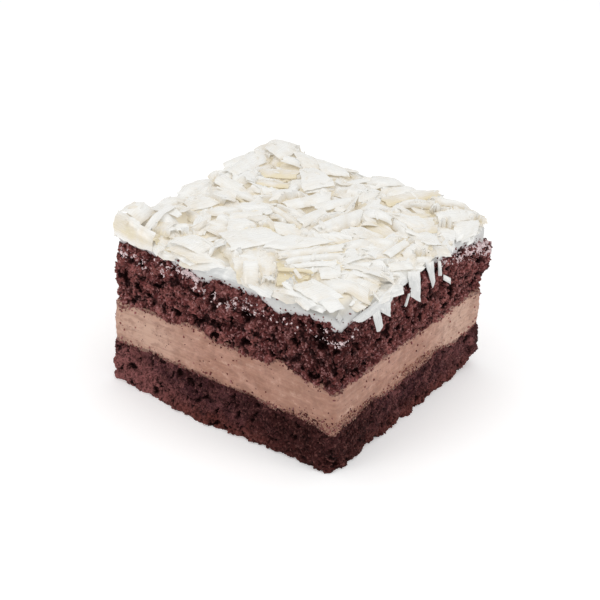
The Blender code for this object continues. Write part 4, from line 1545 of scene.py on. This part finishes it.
def crumbShape(graph):
    # a lumpy crumb: an icosphere pushed about by noise
    ball = graph.add("GeometryNodeMeshIcoSphere", None, {"Radius": 0.5, "Subdivisions": 1})
    push = graph.noise(graph.add("GeometryNodeInputPosition"), 2.6, 1.0)
    offset = graph.add("GeometryNodeInputNormal") * ((push - 0.5) * 0.7)
    return graph.add("GeometryNodeSetPosition", None, {"Geometry": ball, "Offset": offset})


def sliverShape(graph):
    # a thin bent splinter of chocolate, pointed at its ends
    sizes = {"Size": (1.0, 0.3, 0.07), "Vertices X": 6, "Vertices Y": 3, "Vertices Z": 2}
    bar = graph.add("GeometryNodeMeshCube", None, sizes)
    where = graph.add("GeometryNodeInputPosition")
    x = graph.add("ShaderNodeSeparateXYZ", None, {0: where}, 0)
    y = graph.add("ShaderNodeSeparateXYZ", None, {0: where}, 1)
    taper = y * (x * x) * -2.6
    bend = (x * x) * -0.3 + (y * y) * -1.2
    offset = graph.add("ShaderNodeCombineXYZ", None, {0: 0.0, 1: taper, 2: bend})
    return graph.add("GeometryNodeSetPosition", None, {"Geometry": bar, "Offset": offset})


def strew(name, host, weights, look, shape, seed, values):
    mesh = host.data.copy()
    piece = bpy.data.objects.new(name, mesh)
    bpy.context.scene.collection.objects.link(piece)
    setAttribute(mesh, "strew", weights)
    runTree(piece, scatterTree(name + "Scatter", look, shape, seed), values)
    aboveTable(piece)
    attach(piece, "root")
    print(name, "made:", len(piece.data.polygons))


# where bits may lie: this near a cut side, or on the pile where it faces up and is this high
strewn = {
    "sideDepth": 1.6 * mm,
    "facing": 0.8,
    "pileStart": 45.5 * mm,
    "pileFull": 1.5 * mm,      # above the start
}


def sideWeights(piece):
    # 1 on the cut sides and 0 on the top and bottom
    points = pointsOf(piece)
    reach = np.maximum(np.abs(points[:, 0] - middleX), np.abs(points[:, 1] - middleY))
    return (reach > half - strewn["sideDepth"]).astype(float)


upperWeights = sideWeights(upperSponge)
lowerWeights = sideWeights(lowerSponge)
crumbValues = {
    "Density": 1.2e6, "Smallest": 0.35, "Largest": 1.0, "Flatness": 0.8, "Sink": 0.02, "Upright": 1.0,
}
fewerCrumbs = dict(crumbValues, Density=1.05e6)      # the thicker sponge stays under 200,000 triangles
strew("upperCrumbs", upperSponge, upperWeights, upperSpongeLook, crumbShape, 3, fewerCrumbs)
strew("lowerCrumbs", lowerSponge, lowerWeights, lowerSpongeLook, crumbShape, 4, crumbValues)

dabWeights = upperWeights * np.clip(smearAt(pointsOf(upperSponge), upperSmears), 0, 1.1) ** 2.5
dabValues = {
    "Density": 1.3e6, "Smallest": 0.2, "Largest": 1.1, "Flatness": 0.5, "Sink": 0.08, "Upright": 0.5,
}
strew("creamDabs", upperSponge, dabWeights, dabLook, crumbShape, 14, dabValues)

looseValues = {
    "Density": 1.6e6, "Smallest": 0.18, "Largest": 0.85, "Flatness": 0.8, "Sink": 0.0, "Upright": 1.0,
}
# where more crumbs lie on the chocolate cream, given as the smears are
crumblyPlaces = ((35, -29, 12.9, 10, 1.3, 4.0), (28, -35, 12.4, 7, 1.1, 2.5), (35, 4, 14.2, 9, 1.1, 3.0))
creamPoints = pointsOf(chocolateCream)
seamWeights = nearLine(creamPoints, lowerLine, 1.1 * mm) + nearLine(creamPoints, creamLine, 1.0 * mm)
crumbly = smearAt(creamPoints, crumblyPlaces)
seamWeights = (0.04 + seamWeights + crumbly) * sideWeights(chocolateCream)
strew("creamCrumbs", chocolateCream, seamWeights, upperSpongeLook, crumbShape, 8, looseValues)
grainWeights = crumbly * sideWeights(chocolateCream)
grainValues = {
    "Density": 2.2e6, "Smallest": 0.3, "Largest": 0.95, "Flatness": 0.8, "Sink": -0.05, "Upright": 1.0,
}
strew("creamGrains", chocolateCream, grainWeights, creamLook, crumbShape, 15, grainValues)
bandWeights = (0.05 + nearLine(pointsOf(whiteCream), upperLine, 1.3 * mm)) * sideWeights(whiteCream) * 0.5
strew("bandCrumbs", whiteCream, bandWeights, upperSpongeLook, crumbShape, 9, looseValues)


def facesUp(piece):
    # 1 where a surface faces up, so that nothing strewn on it stands on a side wall
    normals = np.empty(len(piece.data.vertices) * 3, np.float32)
    piece.data.vertices.foreach_get("normal", normals)
    return (normals.reshape(-1, 3)[:, 2] > strewn["facing"]).astype(float)


rise = (pointsOf(largeShavings)[:, 2] - strewn["pileStart"]) / strewn["pileFull"]
pileTop = np.clip(rise, 0, 1) * facesUp(largeShavings)
sliverValues = {
    "Density": 4.5e4, "Smallest": 2.0, "Largest": 5.0, "Flatness": 1.0, "Sink": -0.05, "Upright": 0.3,
}
strew("whiteSlivers", largeShavings, pileTop, ivoryLook, sliverShape, 5, sliverValues)


# Floor, light and camera.

studio = {
    "floorColour": (0.95, 0.95, 0.95),
    "floorGlow": 0.24,
    "floorReach": 1.5,
    "worldStrength": 0.62,
    "target": (0, 0, 0.03),    # what the lights point at
    "lights": {                # place, size and power
        "topBox": ((-0.06, 0.03, 0.60), 0.7, 0.9),
        "leftBox": ((-0.20, -0.50, 0.45), 0.3, 0.7),
        "rightBox": ((0.55, 0.15, 0.45), 0.3, 0.7),
    },
}


def addFloor():
    size = studio["floorReach"]
    corners = [(-size, -size, 0), (size, -size, 0), (size, size, 0), (-size, size, 0)]
    floor = newPiece("floor", corners, [(0, 1, 2, 3)])
    look, graph, shader = newLook("paleFloor", {"Roughness": 0.9, "Specular IOR Level": 0.1})
    where = graph.objectPlace()
    tint = graph.noise(where, 3.0, 1.0)
    feed(graph, shader, "Base Color", graph.blend(tint, studio["floorColour"], (0.94, 0.94, 0.94)))
    shader.inputs["Emission Color"].default_value = (1.0, 1.0, 1.0, 1.0)
    shader.inputs["Emission Strength"].default_value = studio["floorGlow"]
    floor.data.materials.append(look)


def addAreaLight(name, place, target, size, power):
    data = bpy.data.lights.new(name, "AREA")
    data.shape = "DISK"
    data.size = size
    data.energy = power
    light = bpy.data.objects.new(name, data)
    direction = Vector(target) - Vector(place)
    light.matrix_world = Matrix.Translation(place) @ direction.to_track_quat("-Z", "Y").to_matrix().to_4x4()
    bpy.context.scene.collection.objects.link(light)


def addWorld():
    world = bpy.data.worlds.new("studio")
    bpy.context.scene.world = world
    world.use_nodes = True
    background = world.node_tree.nodes["Background"]
    background.inputs["Color"].default_value = (1.0, 1.0, 1.0, 1.0)
    background.inputs["Strength"].default_value = studio["worldStrength"]


def addCamera():
    data = bpy.data.cameras.new("camera")
    data.lens = view["lens"]
    data.sensor_width = view["sensor"]
    data.clip_start = 0.01
    camera = bpy.data.objects.new("camera", data)
    bpy.context.scene.collection.objects.link(camera)
    x, y, z = view["place"]
    camera.matrix_world = Matrix.Translation((x + middleX, y + middleY, z)) @ viewTurn().to_4x4()
    bpy.context.scene.camera = camera


addFloor()
addWorld()
for name, (place, size, power) in studio["lights"].items():
    addAreaLight(name, place, studio["target"], size, power)
addCamera()
bpy.context.scene.view_settings.view_transform = "Standard"
bpy.context.scene.view_settings.look = "None"
print("studio made")
